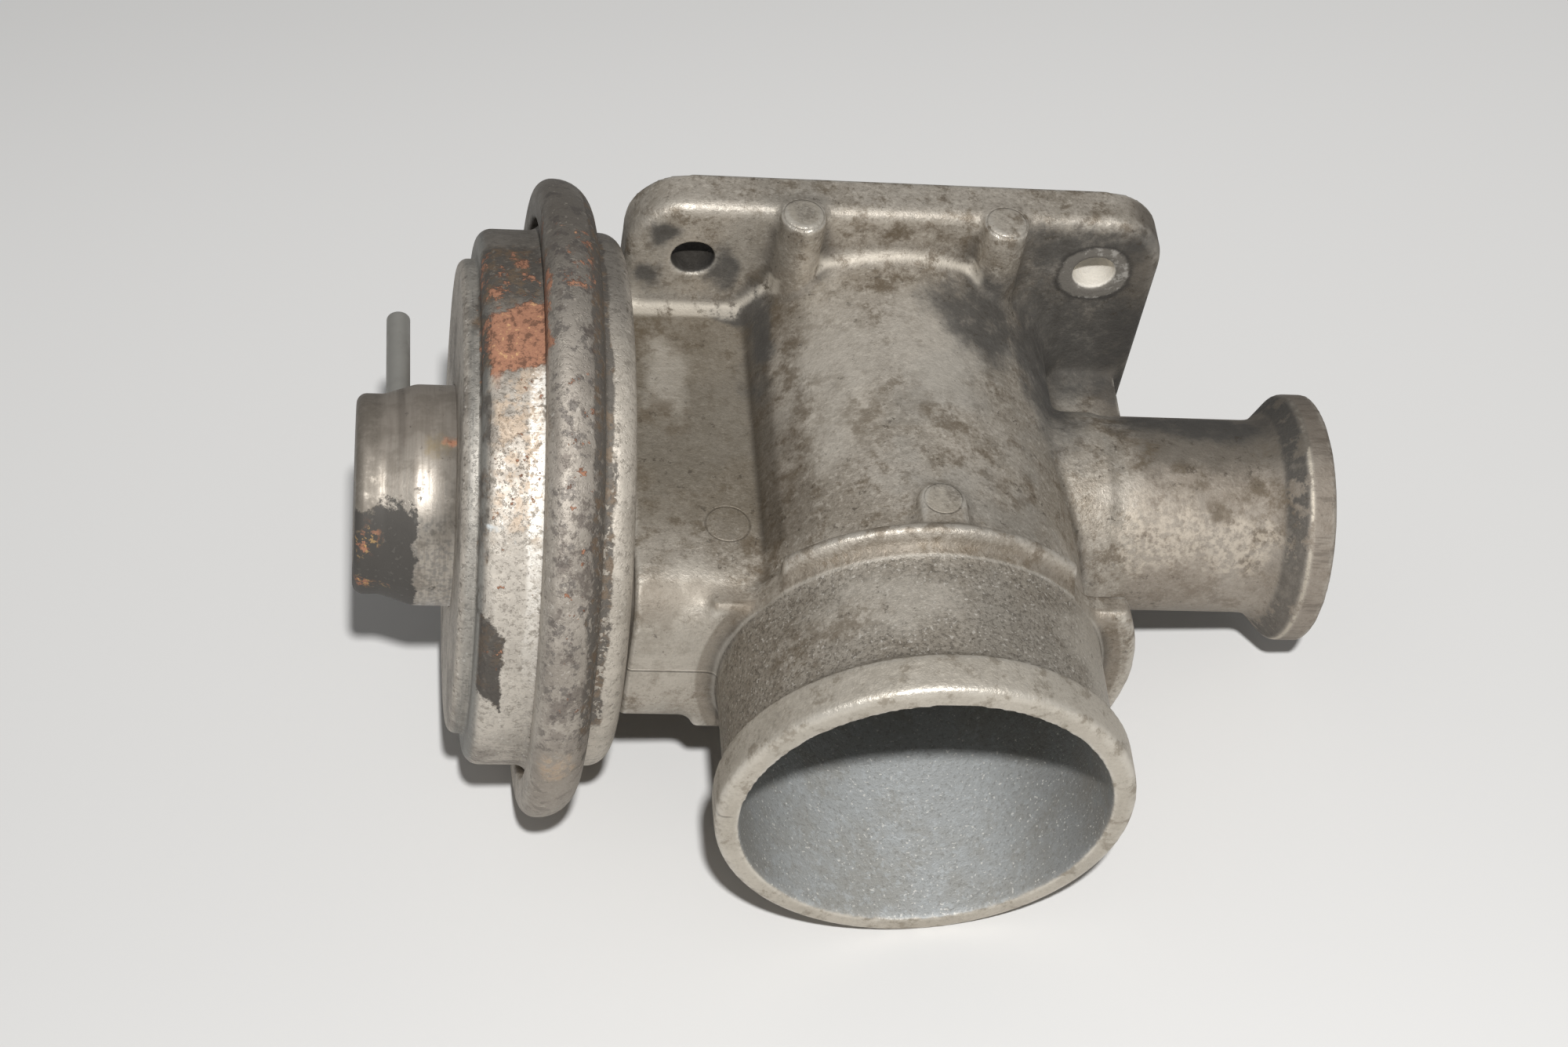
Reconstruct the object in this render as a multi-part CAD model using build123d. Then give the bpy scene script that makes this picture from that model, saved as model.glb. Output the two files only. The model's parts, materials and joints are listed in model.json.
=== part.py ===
from build123d import *
import os

os.makedirs("parts", exist_ok=True)

# Vacuum-operated exhaust gas recirculation valve.
# Frame, in mm: the origin is the centre of the manifold flange's mounting face, +Y points out of
# that face along the throat, +X along the valve axis towards the exhaust inlet, +Z up.
# Depths below are measured forward from the mounting face, that is along -Y.

# ---- manifold flange ----
FLANGE_W, FLANGE_H, FLANGE_T = 85.0, 74.0, 7.5
FLANGE_CORNER_R = 9.5
FLANGE_EDGE_R = 2.0
HOLE_DX, HOLE_DZ, HOLE_D = 64.0, 52.0, 6.6
SEAL_R, SEAL_W, SEAL_DEPTH = 29.0, 3.0, 2.4
SEAL_SIDE_GAP = 0.15

# ---- throat, collar and hose spigot ----
THROAT_R, THROAT_BORE_R = 28.2, 25.0
THROAT_FLARE = 2.2
SPIGOT_R, MOUTH_R = 29.0, 27.3
SPIGOT_END = 94.0
LIP_R, LIP_LEN, LIP_BACK, LIP_FRONT_R = 30.9, 7.4, 0.8, 1.2
COLLAR_BACK, COLLAR_LAND, COLLAR_R, COLLAR_HALF_W = 64.0, 2.4, 32.0, 21.8
COLLAR_EDGE, COLLAR_COVE, COLLAR_STEP = 0.8, 1.5, 0.5
EAR_R, EAR_HALF_H, EAR_T, EAR_EDGE, EAR_COVE = 34.6, 15.0, 3.9, 0.9, 3.0
BORE_TAPER_END = 58.0
REGISTER_R, REGISTER_DEPTH = 25.5, 20.0

# ---- valve axis and exhaust inlet branch ----
VALVE_DEPTH = 35.0
BRANCH_R, BRANCH_WALL = 15.4, 2.5
BRANCH_BOSS_STEP, BRANCH_BOSS_END = 0.5, 32.5
INLET_FACE, INLET_RIM_W, INLET_RIM_R = 67.3, 4.2, 19.7
INLET_CONE = 4.2
WEB_T, WEB_END = 6.0, 40.0

# ---- neck between the throat and the actuator ----
NECK_END, NECK_EDGE, NECK_HALF_H, NECK_REACH = 42.5, 24.0, 16.0, 33.0
NECK_FRONT_R, NECK_FILLET = 7.5, 2.2
CORE_WALL, CORE_THROAT_WALL, CORE_MARGIN, CORE_CORNER_R = 3.5, 4.5, 5.0, 2.5

# ---- ejector bosses on the casting's upper half ----
EJECTOR_R = 3.5
EJECTORS = ((-16.1, 8.4, 37.4), (15.7, 8.4, 37.4))
LOW_EJECTOR_X, LOW_EJECTOR_DEPTH, LOW_EJECTOR_TOP = 1.2, 58.7, 30.4
LOW_EJECTOR_R, LOW_EJECTOR_DRAFT, LOW_EJECTOR_LAP = 3.25, 20.0, 0.5

# ---- seat, poppet and stem ----
SEAT_X, SEAT_LEN, SEAT_BORE_R, SEAT_CHAMFER = 25.5, 4.5, 10.6, 1.0
SEAT_STEP, RECESS_STEP = 0.3, 0.3
HEAD_T, HEAD_EDGE, HEAD_LIP = 4.5, 1.4, 0.1
SEAT_GAP = 0.07
STEM_R, STEM_END_R = 3.0, 2.5
RIVET_R, RIVET_H = 3.8, 0.9
LIFT = 8.0

# ---- stem bush, scraper and seal ----
RUN_GAP = 0.04
BUSH_R, BUSH_INNER_X, SCRAPER_T = 6.0, 27.0, 2.0
STEM_DOOR_R = 4.4
SEAL_POCKET_R, SEAL_POCKET_DEPTH = 8.0, 4.0
RETAINER_T, RETAINER_BORE_R = 1.0, 4.0
SEAL_LIP_T = 0.8

# ---- actuator shells ----
GASKET_T, GASKET_MARGIN = 1.0, 2.0
BASE_T, BASE_R, BASE_BEND, BASE_DEPTH, BASE_DOOR_R = 1.5, 41.2, 2.4, 6.5, 5.0
RIM_EDGE_W, RIM_NEAR_BEND_R, RIM_FAR_BEND, RIM_LIP_GAP = 4.0, 6.0, 1.6, 2.0
COVER_T, COVER_FLANGE_W = 1.5, 4.0
COVER_DEPTH = 11.7
STEP_W, STEP_DEPTH, STEP_BEND, SHOULDER_BEND_R = 4.7, 2.6, 1.0, 2.4
CAP_T, CAP_R, CAP_TIP_R, CAP_LEN, CAP_BEND_R, CAP_FLANGE_W = 1.2, 17.0, 15.4, 14.8, 1.6, 4.0
CAP_CONE = 4.8
SCREW_INSET, SCREW_R, SCREW_LEN = 6.5, 2.5, 12.0
SCREW_HEAD_R, SCREW_HEAD_H, SCREW_SOCKET_AF, SCREW_BOSS_R = 4.2, 2.2, 3.0, 4.6

# ---- vacuum nipple ----
NIPPLE_R, NIPPLE_BORE_R, NIPPLE_FROM_TIP, NIPPLE_REACH = 1.9, 1.1, 6.6, 37.2
NIPPLE_BEAD_R, NIPPLE_BEAD_T, NIPPLE_TIP_EDGE = 2.9, 1.5, 0.4

# ---- diaphragm stack ----
SUPPORT_GAP, SUPPORT_T, SUPPORT_R = 3.6, 1.0, 20.0
DIAPHRAGM_T, BEAD_W, DIAPHRAGM_HOLE_GAP = 1.2, 4.0, 0.3
PISTON_T, LOOP_ROOM, PISTON_SKIRT, PISTON_BEND = 1.2, 11.7, 4.5, 2.0
LOOP_GAP, LOOP_RISE = 0.5, 7.5
NUT_AF, NUT_H, STEM_PROUD = 8.0, 4.0, 1.2

# ---- return spring ----
WIRE_R, WIRE_SIDES, COIL_R, COILS, SPRING_GAP = 1.1, 6, 11.2, 4.4, 0.3
SPRING_SEAT_T, SPRING_SEAT_R, STOP_WALL, STOP_SIDE_GAP, STOP_GAP = 1.0, 13.2, 1.2, 0.5, 0.1

# ---- stations along the valve axis, -X side, all measured from the throat axis ----
SEAL_X = NECK_END - SEAL_POCKET_DEPTH
BASE_FACE = NECK_END + GASKET_T
BASE_INNER = BASE_FACE + BASE_T
RIM_NEAR = BASE_FACE + BASE_DEPTH - BASE_T
CLAMP_NEAR = RIM_NEAR + BASE_T
COVER_FACE = CLAMP_NEAR + BEAD_W
CLAMP_FAR = COVER_FACE + COVER_T
RIM_FAR = CLAMP_FAR + BASE_T
STEP_X = COVER_FACE + COVER_DEPTH
COVER_END = STEP_X + STEP_DEPTH
CAP_END = COVER_END + CAP_LEN
SUPPORT_X = BASE_INNER + SUPPORT_GAP
DIAPHRAGM_X = SUPPORT_X + SUPPORT_T
PISTON_X = DIAPHRAGM_X + DIAPHRAGM_T
NUT_X = PISTON_X + PISTON_T
STEM_TIP = NUT_X + NUT_H + STEM_PROUD
SPRING_SEAT_X = CAP_END - CAP_T
SPRING_FAR = SPRING_SEAT_X - SPRING_SEAT_T
SPRING_NEAR = NUT_X + SPRING_GAP
NIPPLE_X = CAP_END - NIPPLE_FROM_TIP
STOP_X = NUT_X + LIFT + STOP_GAP

# ---- sizes that follow from the driving ones ----
BRANCH_BORE_R = BRANCH_R - BRANCH_WALL
SEAT_R = BRANCH_BORE_R - SEAT_STEP
NECK_FRONT = VALVE_DEPTH + NECK_REACH
CLAMP_R = BASE_R + COVER_FLANGE_W
RIM_R = CLAMP_R + RIM_EDGE_W
STEP_R = BASE_R - STEP_W
PISTON_R = BASE_R - LOOP_ROOM
BASE_SCREW_DY = VALVE_DEPTH - FLANGE_T - SCREW_INSET

VALVE_AXIS = Axis((0, -VALVE_DEPTH, 0), (1, 0, 0))
VALVE_PLANE = Plane(origin=(0, -VALVE_DEPTH, 0), x_dir=(1, 0, 0), z_dir=(0, 0, 1))


def profile(points, rounds=()):
    """A closed face through (x, r) points, with (index, radius) corners rounded."""
    face = make_face(Polyline(*points, close=True))
    for index, radius in rounds:
        corner = Vector(*points[index])
        vertex = min(face.vertices(), key=lambda v: (Vector(*v) - corner).length)
        face = fillet(vertex, radius)
    return face


def turn_on_valve(face):
    return revolve(VALVE_PLANE * face, VALVE_AXIS)


def turn_on_throat(face):
    return revolve(face, Axis.Y)


def rod(x0, x1, radius, dy=0.0, dz=0.0):
    """A round bar along the valve axis between two X stations."""
    plane = Plane(origin=(min(x0, x1), dy - VALVE_DEPTH, dz), z_dir=(1, 0, 0))
    return extrude(plane * Circle(radius), abs(x1 - x0))


def ring(x0, x1, outer, inner):
    return rod(x0, x1, outer) - rod(x0, x1, inner)


def block(x0, x1, y0, y1, z0, z1):
    return Pos(x0, y0, z0) * Box(x1 - x0, y1 - y0, z1 - z0, align=(Align.MIN,) * 3)


def bolt_places():
    return [Pos(sx * HOLE_DX / 2, 0, sz * HOLE_DZ / 2) for sx in (-1, 1) for sz in (-1, 1)]


def flange_plate():
    outline = RectangleRounded(FLANGE_W, FLANGE_H, FLANGE_CORNER_R)
    plate = extrude(Plane.XZ * outline, FLANGE_T)
    return fillet(plate.faces().sort_by(Axis.Y)[0].edges(), FLANGE_EDGE_R)


def neck_block():
    """The flat-topped neck that carries the stem bush and the actuator, coved to the flange."""
    foot = 2 * (NECK_HALF_H + NECK_FILLET)
    outline = Pos(-NECK_FRONT / 2, 0) * Rectangle(NECK_FRONT, 2 * NECK_HALF_H)
    outline += Pos(-FLANGE_T / 2, 0) * Rectangle(FLANGE_T, foot)
    cove = outline.vertices().group_by(Axis.Y)[1:3]
    outline = fillet([v for row in cove for v in row if abs(v.X + FLANGE_T) < 1e-6], NECK_FILLET)
    outline = fillet(outline.vertices().group_by(Axis.X)[0], NECK_FRONT_R)
    plane = Plane(origin=(-NECK_END, 0, 0), x_dir=(0, 1, 0), z_dir=(1, 0, 0))
    return extrude(plane * outline, NECK_END - NECK_EDGE)


def throat_shell():
    """Throat and hose spigot with its retaining lip, turned about the throat axis."""
    flare = THROAT_R + THROAT_FLARE
    lip_back = SPIGOT_END - LIP_LEN
    points = [(0, -FLANGE_T / 2), (flare, -FLANGE_T / 2), (flare, -FLANGE_T),
              (THROAT_R, -FLANGE_T - THROAT_FLARE), (THROAT_R, -COLLAR_BACK),
              (SPIGOT_R, -COLLAR_BACK), (SPIGOT_R, -lip_back), (LIP_R, -lip_back - LIP_BACK),
              (LIP_R, -SPIGOT_END), (0, -SPIGOT_END)]
    return turn_on_throat(profile(points, [(len(points) - 2, LIP_FRONT_R)]))


def collar():
    """The raised bands above and below the spigot's root, coved down to a small step on it."""
    front, top = -COLLAR_BACK - COLLAR_LAND, COLLAR_R - COLLAR_EDGE
    step_r, step_y = SPIGOT_R + COLLAR_STEP, front - COLLAR_COVE - COLLAR_STEP
    points = [(THROAT_BORE_R, -COLLAR_BACK), (top, -COLLAR_BACK), (COLLAR_R, -COLLAR_BACK - COLLAR_EDGE),
              (COLLAR_R, front + COLLAR_EDGE), (top, front), (step_r, front),
              (step_r, step_y), (THROAT_BORE_R, step_y)]
    band = turn_on_throat(profile(points, [(5, COLLAR_COVE)]))
    return band & block(-COLLAR_HALF_W, COLLAR_HALF_W, -SPIGOT_END, 0, -COLLAR_R, COLLAR_R)


def collar_ears():
    """The side ears at the spigot's root, coved into its round."""
    outline = Circle(EAR_R) & Rectangle(2 * EAR_R, 2 * EAR_HALF_H)
    outline += Circle(SPIGOT_R)
    outline = fillet([v for v in outline.vertices() if abs(v.X) < SPIGOT_R], EAR_COVE)
    plane = Plane(origin=(0, -COLLAR_BACK, 0), x_dir=(1, 0, 0), z_dir=(0, -1, 0))
    ears = extrude(plane * outline, EAR_T)
    front = ears.faces().sort_by(Axis.Y)[0]
    return chamfer(front.edges(), EAR_EDGE)


def inlet_branch():
    """The exhaust inlet with its boss on the throat and its clamp flange."""
    rim_x = INLET_FACE - INLET_RIM_W
    boss_r = BRANCH_R + BRANCH_BOSS_STEP
    points = [(0, 0), (0, boss_r), (BRANCH_BOSS_END, boss_r),
              (BRANCH_BOSS_END + BRANCH_BOSS_STEP, BRANCH_R), (rim_x - INLET_CONE, BRANCH_R),
              (rim_x, INLET_RIM_R), (INLET_FACE, INLET_RIM_R), (INLET_FACE, 0)]
    return turn_on_valve(profile(points))


def parting_web():
    """The web in the parting plane that ties the flange to the inlet branch."""
    return block(0, WEB_END, -VALVE_DEPTH, -FLANGE_T / 2, -WEB_T / 2, WEB_T / 2)


def ejector_bosses():
    """Pads for the ejector pins: two round ones on the flange and a drafted one behind the collar."""
    stand = (Align.CENTER,) * 2 + (Align.MIN,)
    bosses = [Pos(x, -depth, 0) * Cylinder(EJECTOR_R, top, align=stand) for x, depth, top in EJECTORS]
    foot_z = THROAT_BORE_R + CORE_WALL / 2
    reach = COLLAR_BACK + LOW_EJECTOR_LAP - LOW_EJECTOR_DEPTH
    outline = Circle(LOW_EJECTOR_R) + Pos(0, reach / 2) * Rectangle(2 * LOW_EJECTOR_R, reach)
    top = Plane(origin=(LOW_EJECTOR_X, -LOW_EJECTOR_DEPTH, LOW_EJECTOR_TOP), x_dir=(1, 0, 0), z_dir=(0, 0, -1))
    return bosses + [extrude(top * outline, LOW_EJECTOR_TOP - foot_z, taper=-LOW_EJECTOR_DRAFT)]


def neck_core():
    """What the die's core leaves open under the neck, around the bush and screw bosses."""
    x0, x1 = -NECK_END + CORE_WALL, -THROAT_BORE_R - CORE_THROAT_WALL
    y0, y1 = -NECK_FRONT + CORE_MARGIN, -FLANGE_T - CORE_MARGIN
    outline = Pos((x0 + x1) / 2, (y0 + y1) / 2) * RectangleRounded(x1 - x0, y1 - y0, CORE_CORNER_R)
    depth = 2 * NECK_HALF_H - CORE_WALL
    core = extrude(Plane.XY.offset(-NECK_HALF_H) * outline, depth)
    for dy, radius in ((0, BUSH_R + CORE_WALL), *((s * BASE_SCREW_DY, SCREW_BOSS_R) for s in (-1, 1))):
        y = dy - VALVE_DEPTH
        core -= rod(x0, x1, radius, dy)
        core -= block(x0, x1, y - radius, y + radius, 0, NECK_HALF_H)
    return core


def stem_bore():
    bore = rod(-THROAT_BORE_R / 2, -NECK_END, STEM_DOOR_R)
    bore += rod(-BUSH_INNER_X, -NECK_END, BUSH_R)
    return bore + rod(-SEAL_X, -NECK_END, SEAL_POCKET_R)


def throat_bore():
    """The throat, machined wider at the manifold end and drafted towards the spigot's mouth."""
    points = [(0, 0), (REGISTER_R, 0), (REGISTER_R, -REGISTER_DEPTH), (THROAT_BORE_R, -REGISTER_DEPTH),
              (THROAT_BORE_R, -BORE_TAPER_END), (MOUTH_R, -SPIGOT_END), (0, -SPIGOT_END)]
    return turn_on_throat(profile(points))


def inlet_bore():
    """The gas passage: recess behind the poppet, pocket for the seat, then the open branch."""
    passage = rod(0, INLET_FACE, SEAT_R - RECESS_STEP) + rod(SEAT_X, INLET_FACE, SEAT_R)
    return passage + rod(SEAT_X + SEAT_LEN, INLET_FACE, BRANCH_BORE_R)


def seal_groove(inner, outer, depth):
    band = Circle(outer) - Circle(inner)
    return extrude(Plane.XZ * band, depth)


def make_housing():
    body = flange_plate() + neck_block()
    body += throat_shell() + collar() + collar_ears() + inlet_branch() + parting_web()
    body += ejector_bosses()
    body -= neck_core()
    body -= throat_bore()
    body -= inlet_bore()
    body -= stem_bore()
    body -= seal_groove(SEAL_R - SEAL_W / 2, SEAL_R + SEAL_W / 2, SEAL_DEPTH)
    drill = extrude(Plane.XZ * Circle(HOLE_D / 2), FLANGE_T)
    body -= [place * drill for place in bolt_places()]
    deep = SCREW_LEN - GASKET_T - BASE_T
    body -= [rod(-NECK_END, -NECK_END + deep, SCREW_R, s * BASE_SCREW_DY) for s in (-1, 1)]
    return body


def make_manifold_seal():
    half = SEAL_W / 2 - SEAL_SIDE_GAP
    return seal_groove(SEAL_R - half, SEAL_R + half, SEAL_DEPTH)


def make_seat():
    inner, back = SEAT_BORE_R, SEAT_X + SEAT_LEN
    points = [(SEAT_X, inner + SEAT_CHAMFER), (SEAT_X + SEAT_CHAMFER, inner), (back, inner),
              (back, SEAT_R), (SEAT_X, SEAT_R)]
    return turn_on_valve(profile(points))


HEAD_FACE = SEAT_X + SEAT_CHAMFER - SEAT_GAP
HEAD_BACK = HEAD_FACE - HEAD_T


def make_valve_head():
    """The poppet: 45 degree face, short rim and a tulip back, bored for the stem."""
    rim_r = SEAT_BORE_R + SEAT_CHAMFER + HEAD_LIP
    face_r = SEAT_BORE_R
    cone = rim_r - face_r
    points = [(HEAD_BACK, STEM_END_R), (HEAD_FACE, STEM_END_R), (HEAD_FACE, face_r),
              (HEAD_FACE - cone, rim_r), (HEAD_FACE - cone - HEAD_EDGE, rim_r),
              (HEAD_BACK + HEAD_EDGE / 2, STEM_R * 2), (HEAD_BACK, STEM_R * 1.5)]
    return turn_on_valve(profile(points))


def make_stem():
    """The stem: shouldered at both ends, riveted over in the poppet."""
    points = [(-STEM_TIP, 0), (-STEM_TIP, STEM_END_R), (-SUPPORT_X, STEM_END_R),
              (-SUPPORT_X, STEM_R), (HEAD_BACK, STEM_R), (HEAD_BACK, STEM_END_R),
              (HEAD_FACE, STEM_END_R), (HEAD_FACE, RIVET_R),
              (HEAD_FACE + RIVET_H, RIVET_R - RIVET_H), (HEAD_FACE + RIVET_H, 0)]
    return turn_on_valve(profile(points))


def make_scraper():
    return ring(-BUSH_INNER_X, -BUSH_INNER_X - SCRAPER_T, BUSH_R, STEM_R + RUN_GAP)


def make_bush():
    return ring(-BUSH_INNER_X - SCRAPER_T, -SEAL_X, BUSH_R, STEM_R + RUN_GAP)


def make_stem_seal():
    """A lip seal: outer wall, web against the bush and a lip on the stem."""
    lip = STEM_R + RUN_GAP
    near, far = -SEAL_X, -(NECK_END - RETAINER_T)
    points = [(near, lip), (near, SEAL_POCKET_R), (far, SEAL_POCKET_R),
              (far, SEAL_POCKET_R - SEAL_LIP_T), (near - SEAL_LIP_T, SEAL_POCKET_R - SEAL_LIP_T),
              (near - SEAL_LIP_T, lip + SEAL_LIP_T), (far + SEAL_LIP_T, lip + SEAL_LIP_T),
              (far + SEAL_LIP_T, lip)]
    return turn_on_valve(profile(points))


def make_seal_retainer():
    return ring(-(NECK_END - RETAINER_T), -NECK_END, SEAL_POCKET_R, RETAINER_BORE_R)


def make_base_gasket():
    """The heat-insulating gasket, cut to the neck's end face."""
    back = FLANGE_T + GASKET_MARGIN
    length, mid = NECK_FRONT - GASKET_MARGIN - back, (NECK_FRONT - GASKET_MARGIN + back) / 2
    outline = RectangleRounded(length, 2 * (NECK_HALF_H - GASKET_MARGIN), NECK_FRONT_R - GASKET_MARGIN)
    plane = Plane(origin=(-BASE_FACE, -mid, 0), x_dir=(0, 1, 0), z_dir=(1, 0, 0))
    plate = extrude(plane * outline, GASKET_T) - rod(-BASE_FACE, -NECK_END, BASE_DOOR_R)
    return plate - [rod(-BASE_FACE, -NECK_END, SCREW_R, s * BASE_SCREW_DY) for s in (-1, 1)]


def make_base_screws():
    plane = Plane(origin=(-BASE_INNER, -VALVE_DEPTH, 0), x_dir=(0, 1, 0), z_dir=(-1, 0, 0))
    head = extrude(plane * Circle(SCREW_HEAD_R), SCREW_HEAD_H)
    socket = plane.offset(SCREW_HEAD_H) * RegularPolygon(SCREW_SOCKET_AF / 2, 6, major_radius=False)
    screw = head - extrude(socket, -SCREW_HEAD_H / 2) + rod(-BASE_INNER, -BASE_INNER + SCREW_LEN, SCREW_R)
    return Compound(children=[Pos(0, s * BASE_SCREW_DY, 0) * screw.solid() for s in (-1, 1)])


def make_base():
    """The lower shell: dished disc, wall, clamping flange and the edge rolled over the cover."""
    wall, lip = BASE_R - BASE_T, CLAMP_R
    inner_bend = BASE_BEND - BASE_T / 2
    line = [(-CLAMP_NEAR, wall), (-BASE_INNER - inner_bend, wall), (-BASE_INNER, wall - inner_bend),
            (-BASE_INNER, BASE_DOOR_R), (-BASE_FACE, BASE_DOOR_R), (-BASE_FACE, BASE_R - BASE_BEND),
            (-BASE_FACE - BASE_BEND, BASE_R), (-CLAMP_NEAR, BASE_R)]
    disc = profile(line)
    fold = BASE_R + RIM_LIP_GAP
    points = [(-RIM_NEAR, wall), (-RIM_NEAR, RIM_R), (-RIM_FAR + RIM_FAR_BEND, RIM_R),
              (-RIM_FAR, RIM_R - RIM_FAR_BEND), (-RIM_FAR, fold),
              (-CLAMP_FAR, fold), (-CLAMP_FAR, lip), (-CLAMP_NEAR, lip), (-CLAMP_NEAR, wall)]
    roll = profile(points, [(1, RIM_NEAR_BEND_R)])
    shell = turn_on_valve(disc) + turn_on_valve(roll)
    return shell - [rod(-BASE_FACE, -BASE_INNER, SCREW_R, s * BASE_SCREW_DY) for s in (-1, 1)]


def make_cover():
    """The upper shell: flange, wall, shoulder, step and the end face that holds the cap."""
    wall, lip, t = BASE_R, CLAMP_R, COVER_T
    points = [(-CLAMP_FAR, lip), (-CLAMP_FAR, wall), (-STEP_X, wall), (-STEP_X, STEP_R),
              (-COVER_END + STEP_BEND, STEP_R), (-COVER_END, STEP_R - STEP_BEND),
              (-COVER_END, CAP_R), (-COVER_END + t, CAP_R),
              (-COVER_END + t, STEP_R - t), (-STEP_X + t, STEP_R - t), (-STEP_X + t, wall - t),
              (-COVER_FACE, wall - t), (-COVER_FACE, lip)]
    return turn_on_valve(profile(points, [(2, SHOULDER_BEND_R)]))


def make_cap():
    """The deep-drawn end cap, coned under the nipple and flanged inside the cover."""
    inside = COVER_END - COVER_T
    cone_tip, cone_base = -NIPPLE_X - CAP_CONE / 2, -NIPPLE_X + CAP_CONE / 2
    points = [(-inside + CAP_T, CAP_R + CAP_FLANGE_W), (-inside + CAP_T, CAP_R - CAP_T),
              (cone_base, CAP_R - CAP_T), (cone_tip, CAP_TIP_R - CAP_T),
              (-CAP_END + CAP_T, CAP_TIP_R - CAP_T), (-CAP_END + CAP_T, 0),
              (-CAP_END, 0), (-CAP_END, CAP_TIP_R), (cone_tip, CAP_TIP_R), (cone_base, CAP_R),
              (-inside, CAP_R), (-inside, CAP_R + CAP_FLANGE_W)]
    return turn_on_valve(profile(points, [(7, CAP_BEND_R)])) - nipple_bar(NIPPLE_R)


def nipple_bar(radius, start=0.0, length=NIPPLE_REACH):
    """A round bar on the nipple's line, from a distance off the valve axis."""
    origin = Vector(-NIPPLE_X, start - VALVE_DEPTH, 0)
    return extrude(Plane(origin=origin, z_dir=(0, 1, 0)) * Circle(radius), length)


def make_nipple():
    """The vacuum pipe, pushed through the cap's wall as far as its upset bead."""
    bar = nipple_bar(NIPPLE_R)
    bar = chamfer(bar.faces().sort_by(Axis.Y)[-1].edges(), NIPPLE_TIP_EDGE)
    bar -= rod(0, -CAP_END, CAP_TIP_R - CAP_T)
    return bar + nipple_bar(NIPPLE_BEAD_R, CAP_R, NIPPLE_BEAD_T) - nipple_bar(NIPPLE_BORE_R)


def make_diaphragm():
    """The rubber diaphragm: clamped bead, rolling loop and flat centre."""
    inner_wall = BASE_R - COVER_T
    loop_in = PISTON_R + LOOP_GAP + DIAPHRAGM_T
    loop_out = inner_wall - LOOP_GAP - DIAPHRAGM_T
    mid = -(CLAMP_NEAR + COVER_FACE - DIAPHRAGM_T) / 2
    top = -(PISTON_X + LOOP_RISE)
    bend = (loop_out - loop_in) / 3
    hole_r = STEM_END_R + DIAPHRAGM_HOLE_GAP
    line = Polyline((-DIAPHRAGM_X, hole_r), (-DIAPHRAGM_X, loop_in), (top + bend, loop_in),
                    (top, loop_in + bend), (top, loop_out - bend), (top + bend, loop_out),
                    (mid, loop_out), (mid, CLAMP_R))
    web = make_face(line.offset_2d(DIAPHRAGM_T, kind=Kind.INTERSECTION, side=Side.LEFT))
    bead = profile([(-CLAMP_NEAR, BASE_R), (-COVER_FACE, BASE_R), (-COVER_FACE, CLAMP_R),
                    (-CLAMP_NEAR, CLAMP_R)])
    return turn_on_valve(web) + turn_on_valve(bead)


def make_support_plate():
    return ring(-SUPPORT_X, -DIAPHRAGM_X, SUPPORT_R, STEM_END_R)


def make_piston_plate():
    """The dished plate that takes the spring, with its skirt turned into the diaphragm's loop."""
    near, far, tip = -PISTON_X, -PISTON_X - PISTON_T, -PISTON_X - PISTON_SKIRT
    points = [(far, STEM_END_R), (far, PISTON_R - PISTON_BEND), (far - PISTON_BEND / 2, PISTON_R - PISTON_T),
              (tip, PISTON_R - PISTON_T), (tip, PISTON_R), (near - PISTON_BEND / 2, PISTON_R),
              (near, PISTON_R - PISTON_BEND / 2), (near, STEM_END_R)]
    return turn_on_valve(profile(points))


def make_stem_nut():
    plane = Plane(origin=(-NUT_X, -VALVE_DEPTH, 0), x_dir=(0, 1, 0), z_dir=(-1, 0, 0))
    body = extrude(plane * RegularPolygon(NUT_AF / 2, 6, major_radius=False), NUT_H)
    return body - rod(-NUT_X, -STEM_TIP, STEM_END_R)


def make_spring():
    """The return spring, with its end coils ground flat."""
    length = SPRING_FAR - SPRING_NEAR
    pitch = length / COILS
    path = Helix(pitch=pitch, height=length + pitch, radius=COIL_R)
    wire = Plane(origin=path @ 0, z_dir=path % 0) * RegularPolygon(WIRE_R, WIRE_SIDES)
    coil = sweep(wire, path=path, is_frenet=True)
    start = Plane(origin=(-SPRING_NEAR + pitch / 2, -VALVE_DEPTH, 0), z_dir=(-1, 0, 0))
    return start * coil & rod(-SPRING_NEAR, -SPRING_FAR, COIL_R + 2 * WIRE_R)


def make_spring_seat():
    """The drawn cup that centres the spring; its open end stops the piston plate at full lift."""
    stop_r = COIL_R - WIRE_R - STOP_SIDE_GAP
    points = [(-SPRING_SEAT_X, stop_r - STOP_WALL), (-SPRING_SEAT_X, SPRING_SEAT_R),
              (-SPRING_FAR, SPRING_SEAT_R), (-SPRING_FAR, stop_r),
              (-STOP_X, stop_r), (-STOP_X, stop_r - STOP_WALL)]
    return turn_on_valve(profile(points))


NODES = {
    "housing": make_housing,
    "manifold_seal": make_manifold_seal,
    "valve_seat": make_seat,
    "valve_head": make_valve_head,
    "valve_stem": make_stem,
    "stem_scraper": make_scraper,
    "stem_bush": make_bush,
    "stem_seal": make_stem_seal,
    "seal_retainer": make_seal_retainer,
    "base_gasket": make_base_gasket,
    "base_screws": make_base_screws,
    "actuator_base": make_base,
    "actuator_cover": make_cover,
    "end_cap": make_cap,
    "vacuum_nipple": make_nipple,
    "diaphragm": make_diaphragm,
    "support_plate": make_support_plate,
    "piston_plate": make_piston_plate,
    "stem_nut": make_stem_nut,
    "return_spring": make_spring,
    "spring_seat": make_spring_seat,
}

for node, make in NODES.items():
    export_step(make(), f"parts/{node}.step")
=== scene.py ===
import json
import math
import bmesh
import bpy
import numpy as np
from mathutils import Matrix, Vector
from mathutils.bvhtree import BVHTree

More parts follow.
